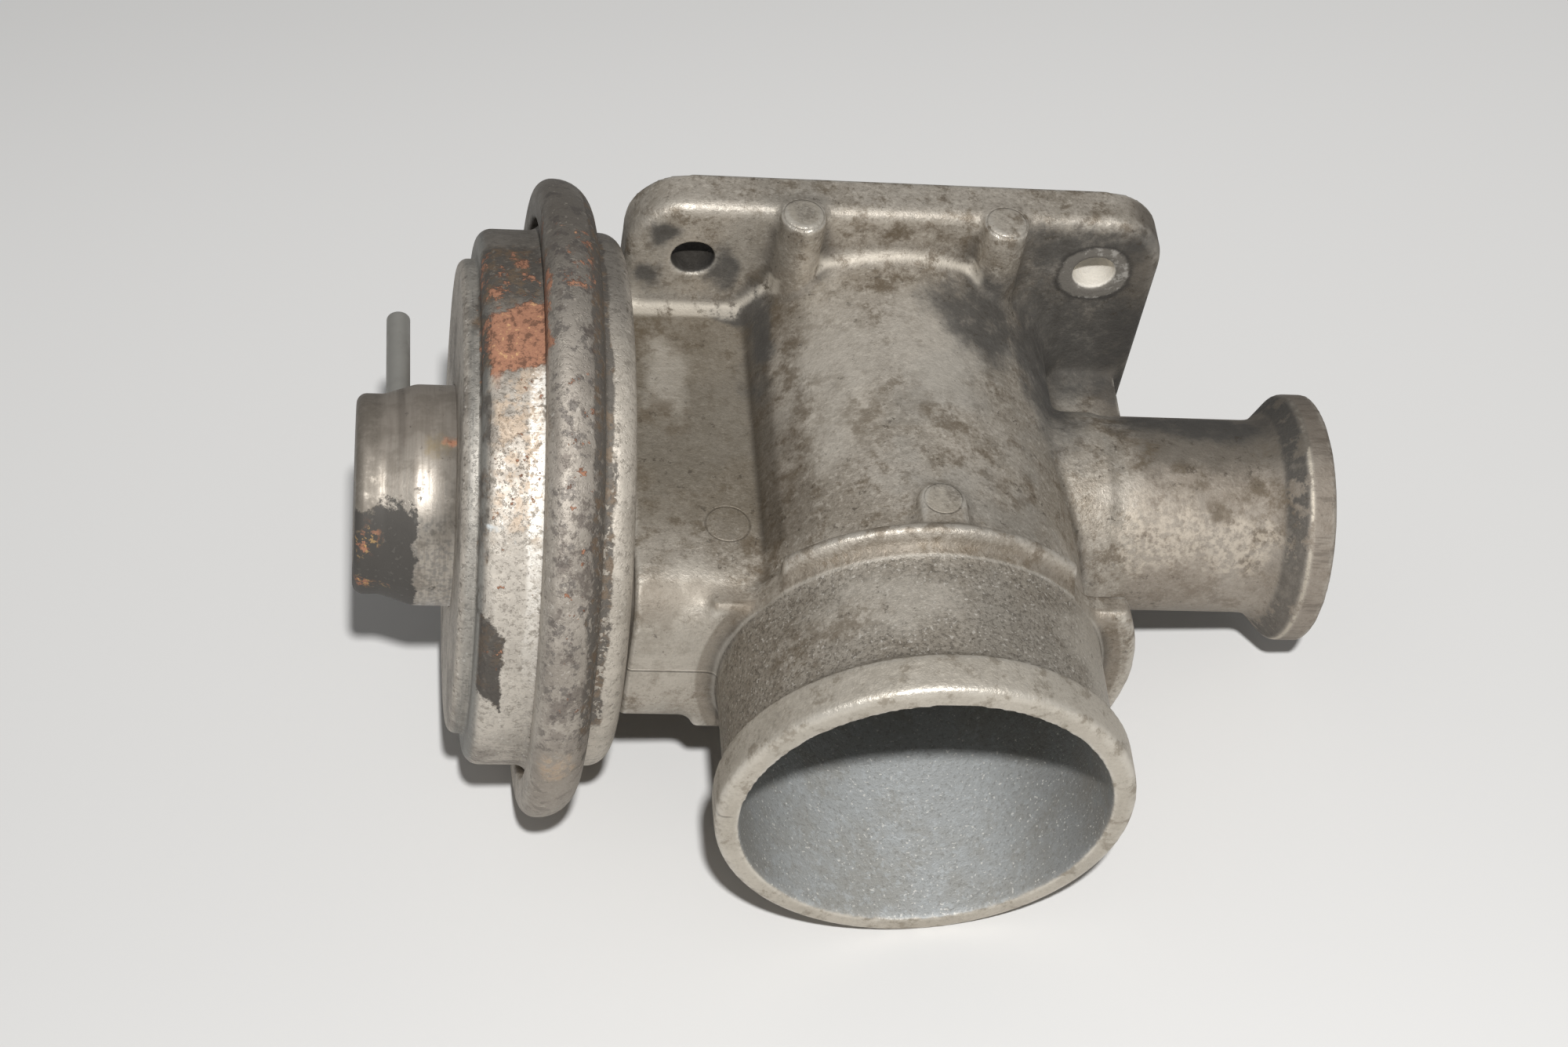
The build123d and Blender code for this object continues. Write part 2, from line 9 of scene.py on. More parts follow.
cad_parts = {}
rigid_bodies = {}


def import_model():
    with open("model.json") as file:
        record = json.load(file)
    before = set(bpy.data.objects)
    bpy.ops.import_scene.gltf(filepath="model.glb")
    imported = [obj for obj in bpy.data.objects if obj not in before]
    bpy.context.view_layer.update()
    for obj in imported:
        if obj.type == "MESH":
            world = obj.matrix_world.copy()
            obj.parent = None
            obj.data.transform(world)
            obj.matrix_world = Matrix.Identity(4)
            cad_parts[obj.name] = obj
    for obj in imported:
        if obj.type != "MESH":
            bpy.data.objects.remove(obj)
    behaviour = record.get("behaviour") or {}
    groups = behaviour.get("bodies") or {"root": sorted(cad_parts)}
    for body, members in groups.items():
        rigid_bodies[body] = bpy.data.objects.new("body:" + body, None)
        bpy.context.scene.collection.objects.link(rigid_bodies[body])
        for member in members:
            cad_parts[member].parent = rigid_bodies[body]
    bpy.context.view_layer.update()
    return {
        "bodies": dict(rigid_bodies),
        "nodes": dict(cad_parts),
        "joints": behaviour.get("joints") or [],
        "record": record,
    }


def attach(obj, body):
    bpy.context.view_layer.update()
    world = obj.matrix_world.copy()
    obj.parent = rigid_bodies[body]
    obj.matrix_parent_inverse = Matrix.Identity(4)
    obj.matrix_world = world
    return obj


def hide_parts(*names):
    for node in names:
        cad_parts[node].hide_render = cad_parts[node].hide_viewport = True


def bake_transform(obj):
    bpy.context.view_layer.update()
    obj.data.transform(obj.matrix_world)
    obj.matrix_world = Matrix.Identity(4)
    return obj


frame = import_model()
nodes = frame["nodes"]
MM = 0.001

# ---- sizes the pieces share, in mm, in the CAD's own frame ----
VALVE_Y = -35.0
BASE_FACE, BASE_INNER, RIM_NEAR, CLAMP_NEAR = 43.5, 45.0, 48.5, 50.0
COVER_FACE, CLAMP_FAR, RIM_FAR = 54.0, 55.5, 57.0
STEP_X, COVER_END, CAP_END = 65.7, 68.3, 83.1
BASE_R, CLAMP_R, RIM_R, STEP_R, CAP_R, CAP_TIP_R = 41.2, 45.2, 49.2, 36.5, 17.0, 15.4
SHEET_T, CAP_T = 1.5, 1.2
NIPPLE_X, NIPPLE_TIP_Y, NIPPLE_R, NIPPLE_BORE_R, BEAD_R = 76.5, 2.2, 1.9, 1.1, 2.9
CAP_SIDE_Y, CAP_BORE_Y = -18.0, -20.6
WIRE_R, COIL_R, COILS, SPRING_NEAR, SPRING_FAR = 1.1, 11.2, 4.4, 52.3, 80.9
DISC_X, DISC_HOLE_R, RUBBER_T, WEB_X = 49.6, 2.8, 1.2, 51.4
FOLD_TOP, FOLD_IN, FOLD_MID, FOLD_OUT = 58.3, 31.2, 34.6, 38.0

scene = bpy.context.scene


# ---------------------------------------------------------------- mesh helpers
def rounded(points, steps=10):
    """A polyline through (u, v, radius) corners, each corner turned into an arc of its radius."""
    line = []
    count = len(points)
    for i, (u, v, radius) in enumerate(points):
        here = Vector((u, v))
        if not radius or i in (0, count - 1):
            line.append(here)
            continue
        before = (Vector(points[i - 1][:2]) - here).normalized()
        after = (Vector(points[i + 1][:2]) - here).normalized()
        half = before.angle(after) / 2
        reach = radius / math.tan(half)
        centre = here + (before + after).normalized() * radius / math.sin(half)
        first, last = here + before * reach - centre, here + after * reach - centre
        for k in range(steps + 1):
            spoke = first.slerp(last, k / steps)
            line.append(centre + spoke.normalized() * radius)
    return line


def on_valve(u, across, up):
    """A point from its station on the valve axis and its two offsets from it, all in mm."""
    return u * MM, (VALVE_Y + across) * MM, up * MM


def turned(name, outline, segments=288, closed=True, frame=on_valve):
    """A closed (u, r) outline in mm turned about an axis, with points on the axis merged."""
    verts, faces = [], []
    rings = []
    for u, r in outline:
        if abs(r) < 1e-6:
            rings.append([len(verts)] * segments)
            verts.append(frame(u, 0, 0))
            continue
        rings.append(list(range(len(verts), len(verts) + segments)))
        for k in range(segments):
            a = 2 * math.pi * k / segments
            verts.append(frame(u, r * math.cos(a), r * math.sin(a)))
    pairs = list(zip(rings, rings[1:] + rings[:1])) if closed else list(zip(rings, rings[1:]))
    for low, high in pairs:
        for k in range(segments):
            n = (k + 1) % segments
            corners = list(dict.fromkeys((low[k], low[n], high[n], high[k])))
            if len(corners) > 2:
                faces.append(corners)
    return mesh_piece(name, verts, faces)


def mesh_piece(name, verts, faces):
    mesh = bpy.data.meshes.new(name)
    mesh.from_pydata([tuple(v) for v in verts], [], faces)
    work = bmesh.new()
    work.from_mesh(mesh)
    bmesh.ops.remove_doubles(work, verts=work.verts, dist=1e-7)
    bmesh.ops.recalc_face_normals(work, faces=work.faces)
    work.to_mesh(mesh)
    work.free()
    mesh.shade_smooth()
    piece = bpy.data.objects.new(name, mesh)
    scene.collection.objects.link(piece)
    return piece


def merged_copy(name, source):
    """A welded copy of a CAD node's loose triangles."""
    mesh = source.data.copy()
    mesh.name = name
    work = bmesh.new()
    work.from_mesh(mesh)
    bmesh.ops.remove_doubles(work, verts=work.verts, dist=2e-6)
    work.to_mesh(mesh)
    work.free()
    piece = bpy.data.objects.new(name, mesh)
    scene.collection.objects.link(piece)
    return piece


def settle(piece):
    """Bakes a piece's modifiers into its mesh."""
    shape = bpy.data.meshes.new_from_object(piece.evaluated_get(bpy.context.evaluated_depsgraph_get()))
    old = piece.data
    piece.modifiers.clear()
    piece.data = shape
    bpy.data.meshes.remove(old)
    return piece


def positions(mesh):
    flat = np.empty(len(mesh.vertices) * 3)
    mesh.vertices.foreach_get("co", flat)
    return flat.reshape(-1, 3)


def place(mesh, points):
    mesh.vertices.foreach_set("co", points.astype(np.float32).ravel())
    mesh.update()


def edge_ends(mesh):
    flat = np.empty(len(mesh.edges) * 2, np.int64)
    mesh.edges.foreach_get("vertices", flat)
    return flat.reshape(-1, 2).T


def neighbour_mean(values, ends):
    """Each vertex's mean over its neighbours, column by column."""
    a, b = ends
    count = len(values)
    degree = np.bincount(a, minlength=count) + np.bincount(b, minlength=count)
    columns = [np.bincount(a, col[b], count) + np.bincount(b, col[a], count) for col in values.T]
    return np.stack(columns, 1) / np.maximum(degree, 1)[:, None]


def vertex_normals(mesh):
    flat = np.empty(len(mesh.vertices) * 3, np.float32)
    mesh.vertices.foreach_get("normal", flat)
    return flat.reshape(-1, 3).astype(float)


def keep_attribute(mesh, name, values):
    layer = mesh.attributes.new(name, "FLOAT", "POINT")
    layer.data.foreach_set("value", values.astype(np.float32))


# ---------------------------------------------------------------- material helpers
def tone(code):
    """An sRGB hex colour as linear RGBA."""
    channels = [int(code[i:i + 2], 16) / 255 for i in (0, 2, 4)]
    return (*[c / 12.92 if c <= 0.04045 else ((c + 0.055) / 1.055) ** 2.4 for c in channels], 1)


def add(tree, kind, inputs=None, **settings):
    """Adds a node, sets its settings, and links or fills its inputs by name or number."""
    node = tree.nodes.new(kind)
    for name, value in settings.items():
        setattr(node, name, value)
    for key, value in (inputs or {}).items():
        socket = next(s for i, s in enumerate(node.inputs) if s.enabled and key in (i, s.name))
        if isinstance(value, bpy.types.Node):
            value = next(s for s in value.outputs if s.enabled)
        if isinstance(value, bpy.types.NodeSocket):
            tree.links.new(value, socket)
        else:
            socket.default_value = value
    return node


# How far marks are bent out of round, in mm, by noise with lumps of these sizes; the mean is taken off.
BEND_MM, BEND_FINE_SHARE, BEND_MEAN, BEND_LUMPS = 9.0, 0.25, 5.6, (7.0, 1.6)


class Finish:
    """A material under construction: its tree, object coordinates in mm and a Principled shader."""

    def __init__(self, name, **constants):
        self.material = bpy.data.materials.new(name)
        self.material.use_nodes = True
        self.tree = self.material.node_tree
        self.shader = self.tree.nodes["Principled BSDF"]
        for key, value in constants.items():
            self.shader.inputs[key.replace("_", " ")].default_value = value
        place = self.add("ShaderNodeTexCoord").outputs["Object"]
        scaled = self.add("ShaderNodeVectorMath", {0: place, "Scale": 1 / MM}, operation="SCALE")
        self.where = scaled.outputs[0]
        self.x, self.y, self.z = self.add("ShaderNodeSeparateXYZ", {0: self.where}).outputs
        self.bent = self.wandering()
        self.tears = {}

    def add(self, kind, inputs=None, **settings):
        return add(self.tree, kind, inputs, **settings)

    def wandering(self):
        """Coordinates that wander by a few mm, so that what is drawn on them is bent out of round."""
        wide, fine = (self.cloud(size, 2.0, at=(size, 0, 0)).outputs["Color"] for size in BEND_LUMPS)
        bend = self.add("ShaderNodeVectorMath", {0: fine, 1: (BEND_FINE_SHARE,) * 3, 2: wide},
                        operation="MULTIPLY_ADD")
        moved = self.add("ShaderNodeVectorMath", {0: bend, 1: (BEND_MM,) * 3, 2: self.where},
                         operation="MULTIPLY_ADD")
        centred = self.add("ShaderNodeVectorMath", {0: moved, 1: (BEND_MEAN,) * 3}, operation="SUBTRACT")
        return centred.outputs[0]

    def cloud(self, size, detail=3.0, rough=0.55, at=(0, 0, 0), stretch=(1, 1, 1)):
        """Soft noise whose lumps are about size mm across, from 0 to 1 round 0.5."""
        spot = self.where
        if at != (0, 0, 0) or stretch != (1, 1, 1):
            spot = self.add("ShaderNodeMapping", {"Vector": spot, "Location": at, "Scale": stretch})
        return self.add("ShaderNodeTexNoise", {"Vector": spot, "Scale": 0.5 / size, "Detail": detail,
                                               "Roughness": rough})

    def ramp(self, value, low, high, top=1.0, floor=0.0):
        """Value taken smoothly from floor to top as it goes from low to high."""
        return self.add("ShaderNodeMapRange", {"Value": value, "From Min": low, "From Max": high,
                                               "To Min": floor, "To Max": top},
                        interpolation_type="SMOOTHSTEP")

    def band(self, value, low, high, soft=0.2):
        """1 while value is between low and high."""
        return self.both(self.ramp(value, low - soft, low + soft), self.ramp(value, high + soft, high - soft))

    def distance(self, centre, radii, spot=None):
        """Distance from a centre, in radii; a radius of None leaves that direction out."""
        scale = [1 / r if r else 0.0 for r in radii]
        offset = [-c * s for c, s in zip(centre, scale)]
        spot = self.add("ShaderNodeMapping", {"Vector": spot or self.where, "Location": offset,
                                              "Scale": scale})
        return self.add("ShaderNodeVectorMath", {0: spot}, operation="LENGTH").outputs["Value"]

    def torn(self, distance, ragged, lump, soft=0.12):
        """1 where distance is under 1, with an edge torn by noise of lump mm."""
        if lump not in self.tears:
            self.tears[lump] = self.cloud(lump, 8.0, 0.7, at=(lump, 0, 0))
        far = self.add("ShaderNodeMath", {0: self.tears[lump], 1: 2 * ragged, 2: distance},
                       operation="MULTIPLY_ADD")
        return self.ramp(far, 1 + ragged + soft, 1 + ragged - soft)

    def blots(self, spots, ragged=0.7, lump=1.8, soft=0.35):
        """1 inside any of the (centre, radii) ellipsoids, bent out of round and torn at the edge."""
        near, *others = (self.distance(centre, radii, self.bent) for centre, radii in spots)
        for far in others:
            near = self.add("ShaderNodeMath", {0: near, 1: far}, operation="MINIMUM")
        return self.torn(near, ragged, lump, soft)

    def either(self, total, *masks):
        """1 where any of the masks is."""
        for mask in masks:
            total = self.add("ShaderNodeMath", {0: total, 1: mask}, operation="MAXIMUM")
        return total

    def both(self, total, *masks):
        """1 only where all of the masks are."""
        for mask in masks:
            total = self.add("ShaderNodeMath", {0: total, 1: mask}, operation="MULTIPLY")
        return total

    def over(self, under, *layers):
        """Colours laid one on another, each a (colour, mask) or (colour, mask, strength) set."""
        for colour, mask, *strength in layers:
            mask = self.both(mask, *strength)
            laid = tone(colour) if isinstance(colour, str) else colour
            under = self.add("ShaderNodeMix", {"Factor": mask, "A": under, "B": laid}, data_type="RGBA")
        return under

    def between(self, low, *levels):
        """Numbers laid one on another, each a (number, mask) pair."""
        for value, mask in levels:
            low = self.add("ShaderNodeMix", {"Factor": mask, "A": low, "B": value}, data_type="FLOAT")
        return low

    def pile(self, *layers):
        """The sum of (value, weight) layers."""
        total = 0.0
        for value, weight in layers:
            total = self.add("ShaderNodeMath", {0: value, 1: weight, 2: total}, operation="MULTIPLY_ADD")
        return total

    def finish(self, colour, rough, metal, height=None, depth=0.1):
        """Links colour, roughness and metal, and a bump whose full height is depth mm."""
        for name, value in (("Base Color", colour), ("Roughness", rough), ("Metallic", metal)):
            if isinstance(value, bpy.types.Node):
                value = next(s for s in value.outputs if s.enabled)
            if isinstance(value, bpy.types.NodeSocket):
                self.tree.links.new(value, self.shader.inputs[name])
            else:
                self.shader.inputs[name].default_value = value
        if height is not None:
            bump = self.add("ShaderNodeBump", {"Height": height, "Distance": depth * MM, "Strength": 1.0})
            self.tree.links.new(bump.outputs["Normal"], self.shader.inputs["Normal"])
        return self.material


# ---------------------------------------------------------------- camera
AZIMUTH, ELEVATION, ROLL = (math.radians(a) for a in (-13.3, 49.4, 11.6))
LOOK_AT = Vector((-15.4, -33.5, -6.5)) * MM
RANGE_M, LENS_MM = 0.4854, 70.21

back = Vector((math.sin(AZIMUTH) * math.cos(ELEVATION), -math.cos(AZIMUTH) * math.cos(ELEVATION),
               math.sin(ELEVATION)))
level = Vector((math.cos(AZIMUTH), math.sin(AZIMUTH), 0))
right = level * math.cos(ROLL) + back.cross(level) * math.sin(ROLL)
upward = back.cross(right)
camera = bpy.data.objects.new("camera", bpy.data.cameras.new("camera"))
camera.data.lens = LENS_MM
camera.data.clip_start, camera.data.clip_end = 0.01, 20
camera.matrix_world = Matrix.LocRotScale(
    LOOK_AT + back * RANGE_M, Matrix((right, upward, back)).transposed(), None)
scene.collection.objects.link(camera)
scene.camera = camera

# ---------------------------------------------------------------- cast housing
FINE_VOXEL, QUICK_VOXEL = 0.5, 0.8
HOUSING_TRIANGLES = 190000
# Hollows fill at every step of the smoothing, and outer corners give way only in the first ones.
MELT_STEPS, CORNER_STEPS = 14, 4
CUT_PULL, HOLLOW_PULL, CORNER_PULL = 0.5, 0.6, 0.3
SETTLE_STEPS, SETTLE_PULL = 2, 0.25
FINE_RINGS, BROAD_RINGS = 5, 40
# Cut faces lie beyond these stations, and cut bores inside these radii.
FLANGE_CUT_Y, NECK_CUT_X, CLAMP_CUT_X = -0.9, -41.6, 63.3
BORE_CUT_R, BORE_END_Y, INLET_CUT_R, INLET_END_X = 27.0, -60, 13.8, 20


def near(value, centre, reach):
    return np.abs(value - centre) < reach


def crisp(x, y, z):
    """True where the casting keeps sharp edges: cut faces, ejector pads and the crease beside the neck."""
    throat, branch = np.hypot(x, z), np.hypot(y - VALVE_Y, z)
    faces = (y > FLANGE_CUT_Y) | (x > CLAMP_CUT_X) | (x < NECK_CUT_X)
    bore = (throat < BORE_CUT_R) & (y > BORE_END_Y)
    inlet = (branch < INLET_CUT_R) & (x > INLET_END_X)
    bolt_holes = near(np.abs(x), 32, 3.6) & near(np.abs(z), 26, 3.6) & (y > -9)
    high_pads = near(np.abs(x + 0.2), 15.9, 4.2) & (z > 34.5) & (y < -7.8)
    low_pad = near(x, 1.2, 4.2) & near(y, -59, 4.6) & (z > 28.6)
    crease = near(np.abs(z), 16, 2.2) & near(x, -23.5, 3) & near(y, -38, 20)
    return faces | bore | inlet | bolt_holes | high_pads | low_pad | crease


def cast_housing():
    """The solid re-skinned, so that its edges and fillets run into one another as die-cast ones do."""
    piece = merged_copy("housing_casting", nodes["housing"])
    skin = piece.modifiers.new("skin", "REMESH")
    skin.mode = "VOXEL"
    skin.voxel_size = FINE_VOXEL * MM
    settle(piece)
    mesh = piece.data
    ends = edge_ends(mesh)
    points = positions(mesh)
    cut = crisp(*(points.T / MM))
    solid = BVHTree.FromObject(nodes["housing"], bpy.context.evaluated_depsgraph_get())
    for step in range(MELT_STEPS):
        drift = neighbour_mean(points, ends) - points
        place(mesh, points)
        lift = (drift * vertex_normals(mesh)).sum(1)
        corner_pull = CORNER_PULL if step < CORNER_STEPS else 0.0
        pull = np.where(cut, CUT_PULL, np.where(lift > 0, HOLLOW_PULL, corner_pull))
        points = points + drift * pull[:, None]
    for i in np.flatnonzero(cut):
        points[i] = solid.find_nearest(points[i])[0]
    for _ in range(SETTLE_STEPS):
        points += (neighbour_mean(points, ends) - points) * np.where(cut, SETTLE_PULL, 0.0)[:, None]
    place(mesh, points)
    normals = vertex_normals(mesh)
    smooth, proud = points, {}
    for ring in range(1, BROAD_RINGS + 1):
        smooth = neighbour_mean(smooth, ends)
        if ring in (FINE_RINGS, BROAD_RINGS):
            proud[ring] = ((points - smooth) * normals).sum(1) / MM
    keep_attribute(mesh, "worn", proud[FINE_RINGS])
    keep_attribute(mesh, "proud", proud[BROAD_RINGS])
    triangles = 2 * len(mesh.polygons)
    if triangles > HOUSING_TRIANGLES:
        thin = piece.modifiers.new("thin", "DECIMATE")
        thin.ratio = HOUSING_TRIANGLES / triangles
        settle(piece)
    piece.data.shade_smooth()
    return piece


housing = cast_housing()
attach(housing, "valve_body")
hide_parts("housing")

# ---------------------------------------------------------------- actuator shells
EDGE, GAP, BASE_HOLE_R, CAP_FLANGE, CONE_HALF, BEAD_T = 0.35, 0.05, 5.0, 4.0, 2.4, 1.5
base_line = rounded([
    (-CLAMP_NEAR, CLAMP_R, 0), (-CLAMP_NEAR, BASE_R - SHEET_T, 0.5), (-BASE_INNER, BASE_R - SHEET_T, 1.6),
    (-BASE_INNER, BASE_HOLE_R, EDGE), (-BASE_FACE, BASE_HOLE_R, EDGE), (-BASE_FACE, BASE_R, 3.4),
    (-RIM_NEAR, BASE_R, 0.8), (-RIM_NEAR, RIM_R, 5.6), (-RIM_FAR, RIM_R, 2.6), (-RIM_FAR, BASE_R + 1.9, 0.6),
    (-CLAMP_FAR - GAP, BASE_R + 2.0, 0.3), (-CLAMP_FAR - GAP, CLAMP_R, 0)])
base = turned("actuator_base_shell", base_line)

cover_line = rounded([
    (-CLAMP_FAR, CLAMP_R, 0), (-CLAMP_FAR, BASE_R, 2.3), (-STEP_X, BASE_R, 2.4), (-STEP_X, STEP_R, 0.5),
    (-COVER_END, STEP_R, 1.5), (-COVER_END, CAP_R + GAP, EDGE), (-COVER_END + SHEET_T, CAP_R + GAP, EDGE),
    (-COVER_END + SHEET_T, STEP_R - SHEET_T, 0.6), (-STEP_X + SHEET_T, STEP_R - SHEET_T, 0.6),
    (-STEP_X + SHEET_T, BASE_R - SHEET_T, 1.2), (-COVER_FACE, BASE_R - SHEET_T, 0.8),
    (-COVER_FACE, CLAMP_R, 0)])
cover = turned("actuator_cover_shell", cover_line)

cone_near, cone_far = -NIPPLE_X + CONE_HALF, -NIPPLE_X - CONE_HALF
inner = -COVER_END + SHEET_T
cap_line = rounded([
    (inner, CAP_R + CAP_FLANGE, 0), (inner + CAP_T, CAP_R + CAP_FLANGE, EDGE),
    (inner + CAP_T, CAP_R - CAP_T, 0.6),
    (cone_near, CAP_R - CAP_T, 3), (cone_far, CAP_TIP_R - CAP_T, 3),
    (-CAP_END + CAP_T, CAP_TIP_R - CAP_T, 0.8),
    (-CAP_END + CAP_T, 0, 0), (-CAP_END, 0, 0), (-CAP_END, CAP_TIP_R, 1.6), (cone_far, CAP_TIP_R, 4),
    (cone_near, CAP_R, 4), (inner, CAP_R, 0.3)])
cap = turned("end_cap_drawn", cap_line)

nipple_line = rounded([
    (CAP_BORE_Y, NIPPLE_BORE_R, 0), (CAP_BORE_Y, NIPPLE_R, 0.2), (CAP_SIDE_Y, NIPPLE_R, 0.1),
    (CAP_SIDE_Y, BEAD_R, 0.5), (CAP_SIDE_Y + BEAD_T, BEAD_R, 0.6), (CAP_SIDE_Y + BEAD_T, NIPPLE_R, 0.35),
    (NIPPLE_TIP_Y, NIPPLE_R, 0.55), (NIPPLE_TIP_Y, NIPPLE_BORE_R, 0.2)], 8)
nipple = turned("vacuum_nipple_drawn", nipple_line, 96,
                frame=lambda u, across, up: ((across - NIPPLE_X) * MM, u * MM, up * MM))

PRESSINGS = ((base, "actuator_base", "plated_steel"), (cover, "actuator_cover", "plated_steel"),
             (cap, "end_cap", "cap_steel"), (nipple, "vacuum_nipple", "nipple_steel"))
for piece, node, finish_slot in PRESSINGS:
    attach(piece, "valve_body")
    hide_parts(node)


# ---------------------------------------------------------------- soft and springy pieces
def spring_tree():
    """The coil as a tree of nodes: a spiral swept by a round wire."""
    tree = bpy.data.node_groups.new("coil_spring", "GeometryNodeTree")
    tree.is_modifier = True
    for name in ("Wire radius", "Coil radius", "Coils", "Length"):
        tree.interface.new_socket(name, in_out="INPUT", socket_type="NodeSocketFloat")
    tree.interface.new_socket("Material", in_out="INPUT", socket_type="NodeSocketMaterial")
    tree.interface.new_socket("Geometry", in_out="OUTPUT", socket_type="NodeSocketGeometry")
    sizes = add(tree, "NodeGroupInput").outputs
    spiral = add(tree, "GeometryNodeCurveSpiral", {
        "Resolution": 64, "Rotations": sizes["Coils"], "Start Radius": sizes["Coil radius"],
        "End Radius": sizes["Coil radius"], "Height": sizes["Length"]})
    wire = add(tree, "GeometryNodeCurvePrimitiveCircle", {"Resolution": 20, "Radius": sizes["Wire radius"]})
    coil = add(tree, "GeometryNodeCurveToMesh", {"Curve": spiral, "Profile Curve": wire, "Fill Caps": True})
    turn = add(tree, "GeometryNodeTransform", {"Geometry": coil, "Rotation": (0, -math.pi / 2, 0)})
    real = add(tree, "GeometryNodeRealizeInstances", {"Geometry": turn})
    painted = add(tree, "GeometryNodeSetMaterial", {"Geometry": real, "Material": sizes["Material"]})
    add(tree, "NodeGroupOutput", {"Geometry": painted})
    return tree


def grown(name, tree, **inputs):
    """A plain mesh made by a tree of nodes with these inputs."""
    piece = bpy.data.objects.new(name, bpy.data.meshes.new(name))
    scene.collection.objects.link(piece)
    modifier = piece.modifiers.new(name, "NODES")
    modifier.node_group = tree
    keys = {item.name: item.identifier for item in tree.interface.items_tree if item.in_out == "INPUT"}
    for key, value in inputs.items():
        modifier[keys[key.replace("_", " ")]] = value
    return settle(piece)


spring_wire = bpy.data.materials.new("spring_wire_slot")
spring = grown("return_spring_wire", spring_tree(), Wire_radius=WIRE_R * MM, Coil_radius=COIL_R * MM,
               Coils=COILS, Length=(SPRING_FAR - SPRING_NEAR - 2 * WIRE_R) * MM, Material=spring_wire)
spring.data.transform(Matrix.Translation(on_valve(-SPRING_NEAR - WIRE_R, 0, 0)))
spring.data.shade_smooth()
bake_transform(spring)
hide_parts("return_spring")

inner_fold = turned("diaphragm_inner_fold", rounded([
    (-DISC_X, DISC_HOLE_R, 0), (-DISC_X, FOLD_IN, 1.2), (-FOLD_TOP, FOLD_IN, 3.2), (-FOLD_TOP, FOLD_MID, 0),
    (-FOLD_TOP - RUBBER_T, FOLD_MID, 0), (-FOLD_TOP - RUBBER_T, FOLD_IN - RUBBER_T, 4.4),
    (-DISC_X - RUBBER_T, FOLD_IN - RUBBER_T, 0.4), (-DISC_X - RUBBER_T, DISC_HOLE_R, 0)]), 192)
outer_fold = turned("diaphragm_outer_fold", rounded([
    (-FOLD_TOP, FOLD_MID, 0), (-FOLD_TOP, FOLD_OUT, 3.2), (-WEB_X, FOLD_OUT, 0.8), (-WEB_X, BASE_R, 0.3),
    (-CLAMP_NEAR, BASE_R, 0.3), (-CLAMP_NEAR, CLAMP_R, 0), (-COVER_FACE, CLAMP_R, 0),
    (-COVER_FACE, BASE_R, 0.3),
    (-WEB_X - RUBBER_T, BASE_R, 0.3), (-WEB_X - RUBBER_T, FOLD_OUT + RUBBER_T, 0.8),
    (-FOLD_TOP - RUBBER_T, FOLD_OUT + RUBBER_T, 4.4), (-FOLD_TOP - RUBBER_T, FOLD_MID, 0)]), 192)
# Each row names a fold, the body it would hang from, the body it would be drawn towards, and two stations on
# the valve axis between which that would happen; the loop below only bakes each fold in place.
INNER_BLEND_END, OUTER_BLEND_END = 65.75, 64.7
FOLDS = ((inner_fold, "moving_valve", "valve_body", DISC_X + RUBBER_T, INNER_BLEND_END),
         (outer_fold, "valve_body", "moving_valve", COVER_FACE, OUTER_BLEND_END))
for fold, near, far, start, end in FOLDS:
    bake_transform(fold)
    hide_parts("diaphragm")

# ---------------------------------------------------------------- stage
# The side that it lies on, and how much a facet's size counts in the choice of it.
REST_SIDE = Vector((0.199, -0.146, -1)).normalized()
FACET_WEIGHT = 2.0
FLOOR_M, FLOOR_NEAR_Y, FLOOR_FAR_Y = 3.0, -110, 150


def resting_plane():
    """The point and normal of the hull facet that the part would lie on."""
    work = bmesh.new()
    for node in nodes.values():
        work.from_mesh(node.data)
    hull = bmesh.ops.convex_hull(work, input=work.verts, use_existing_faces=False)
    faces = [f for f in hull["geom"] if isinstance(f, bmesh.types.BMFace)]
    best = max(faces, key=lambda f: f.normal.dot(REST_SIDE) + f.calc_area() * FACET_WEIGHT)
    plane = best.calc_center_median().copy(), -best.normal.copy()
    work.free()
    return plane


foot, floor_up = resting_plane()
floor_mesh = bpy.data.meshes.new("floor")
side = floor_up.cross(Vector((0, 1, 0))).normalized()
ahead = floor_up.cross(side)
floor_mesh.from_pydata([foot + side * a * FLOOR_M + ahead * b * FLOOR_M
                        for a, b in ((-1, -1), (1, -1), (1, 1), (-1, 1))], [], [(0, 1, 2, 3)])
floor = bpy.data.objects.new("floor", floor_mesh)
scene.collection.objects.link(floor)
if floor_mesh.polygons[0].normal.dot(floor_up) < 0:
    floor_mesh.flip_normals()

# A plain laminate table top, matt; its colour is painted whiter far off and a little greyer towards the
# spigot, as painted light that evens out the flash's fall-off.
table = Finish("matt_white_laminate", Specular_IOR_Level=0.2)
painted_light_far = table.ramp(table.y, FLOOR_NEAR_Y, FLOOR_FAR_Y)
table.finish(table.over(tone("e4e3e1"), ("fdfcfa", painted_light_far)), 0.7, 0.0)
# Seen from below it is clear, so that it hides nothing.
see_through = table.add("ShaderNodeBsdfTransparent")
underside = table.add("ShaderNodeNewGeometry").outputs["Backfacing"]
one_sided = table.add("ShaderNodeMixShader", {0: underside, 1: table.shader, 2: see_through})
table.tree.links.new(one_sided.outputs[0], table.tree.nodes["Material Output"].inputs["Surface"])
floor_mesh.materials.append(table.material)

KEY_AT = Vector((-84.8, -400.1, 585.7)) * MM
KEY_WATTS, KEY_SIZE = 5.0, 0.028
flash = bpy.data.objects.new("flash", bpy.data.lights.new("flash", "AREA"))
flash.data.energy, flash.data.shape, flash.data.size = KEY_WATTS, "DISK", KEY_SIZE
flash.location = KEY_AT
flash.rotation_mode = "QUATERNION"
flash.rotation_quaternion = (KEY_AT - LOOK_AT).to_track_quat("Z", "Y")
scene.collection.objects.link(flash)

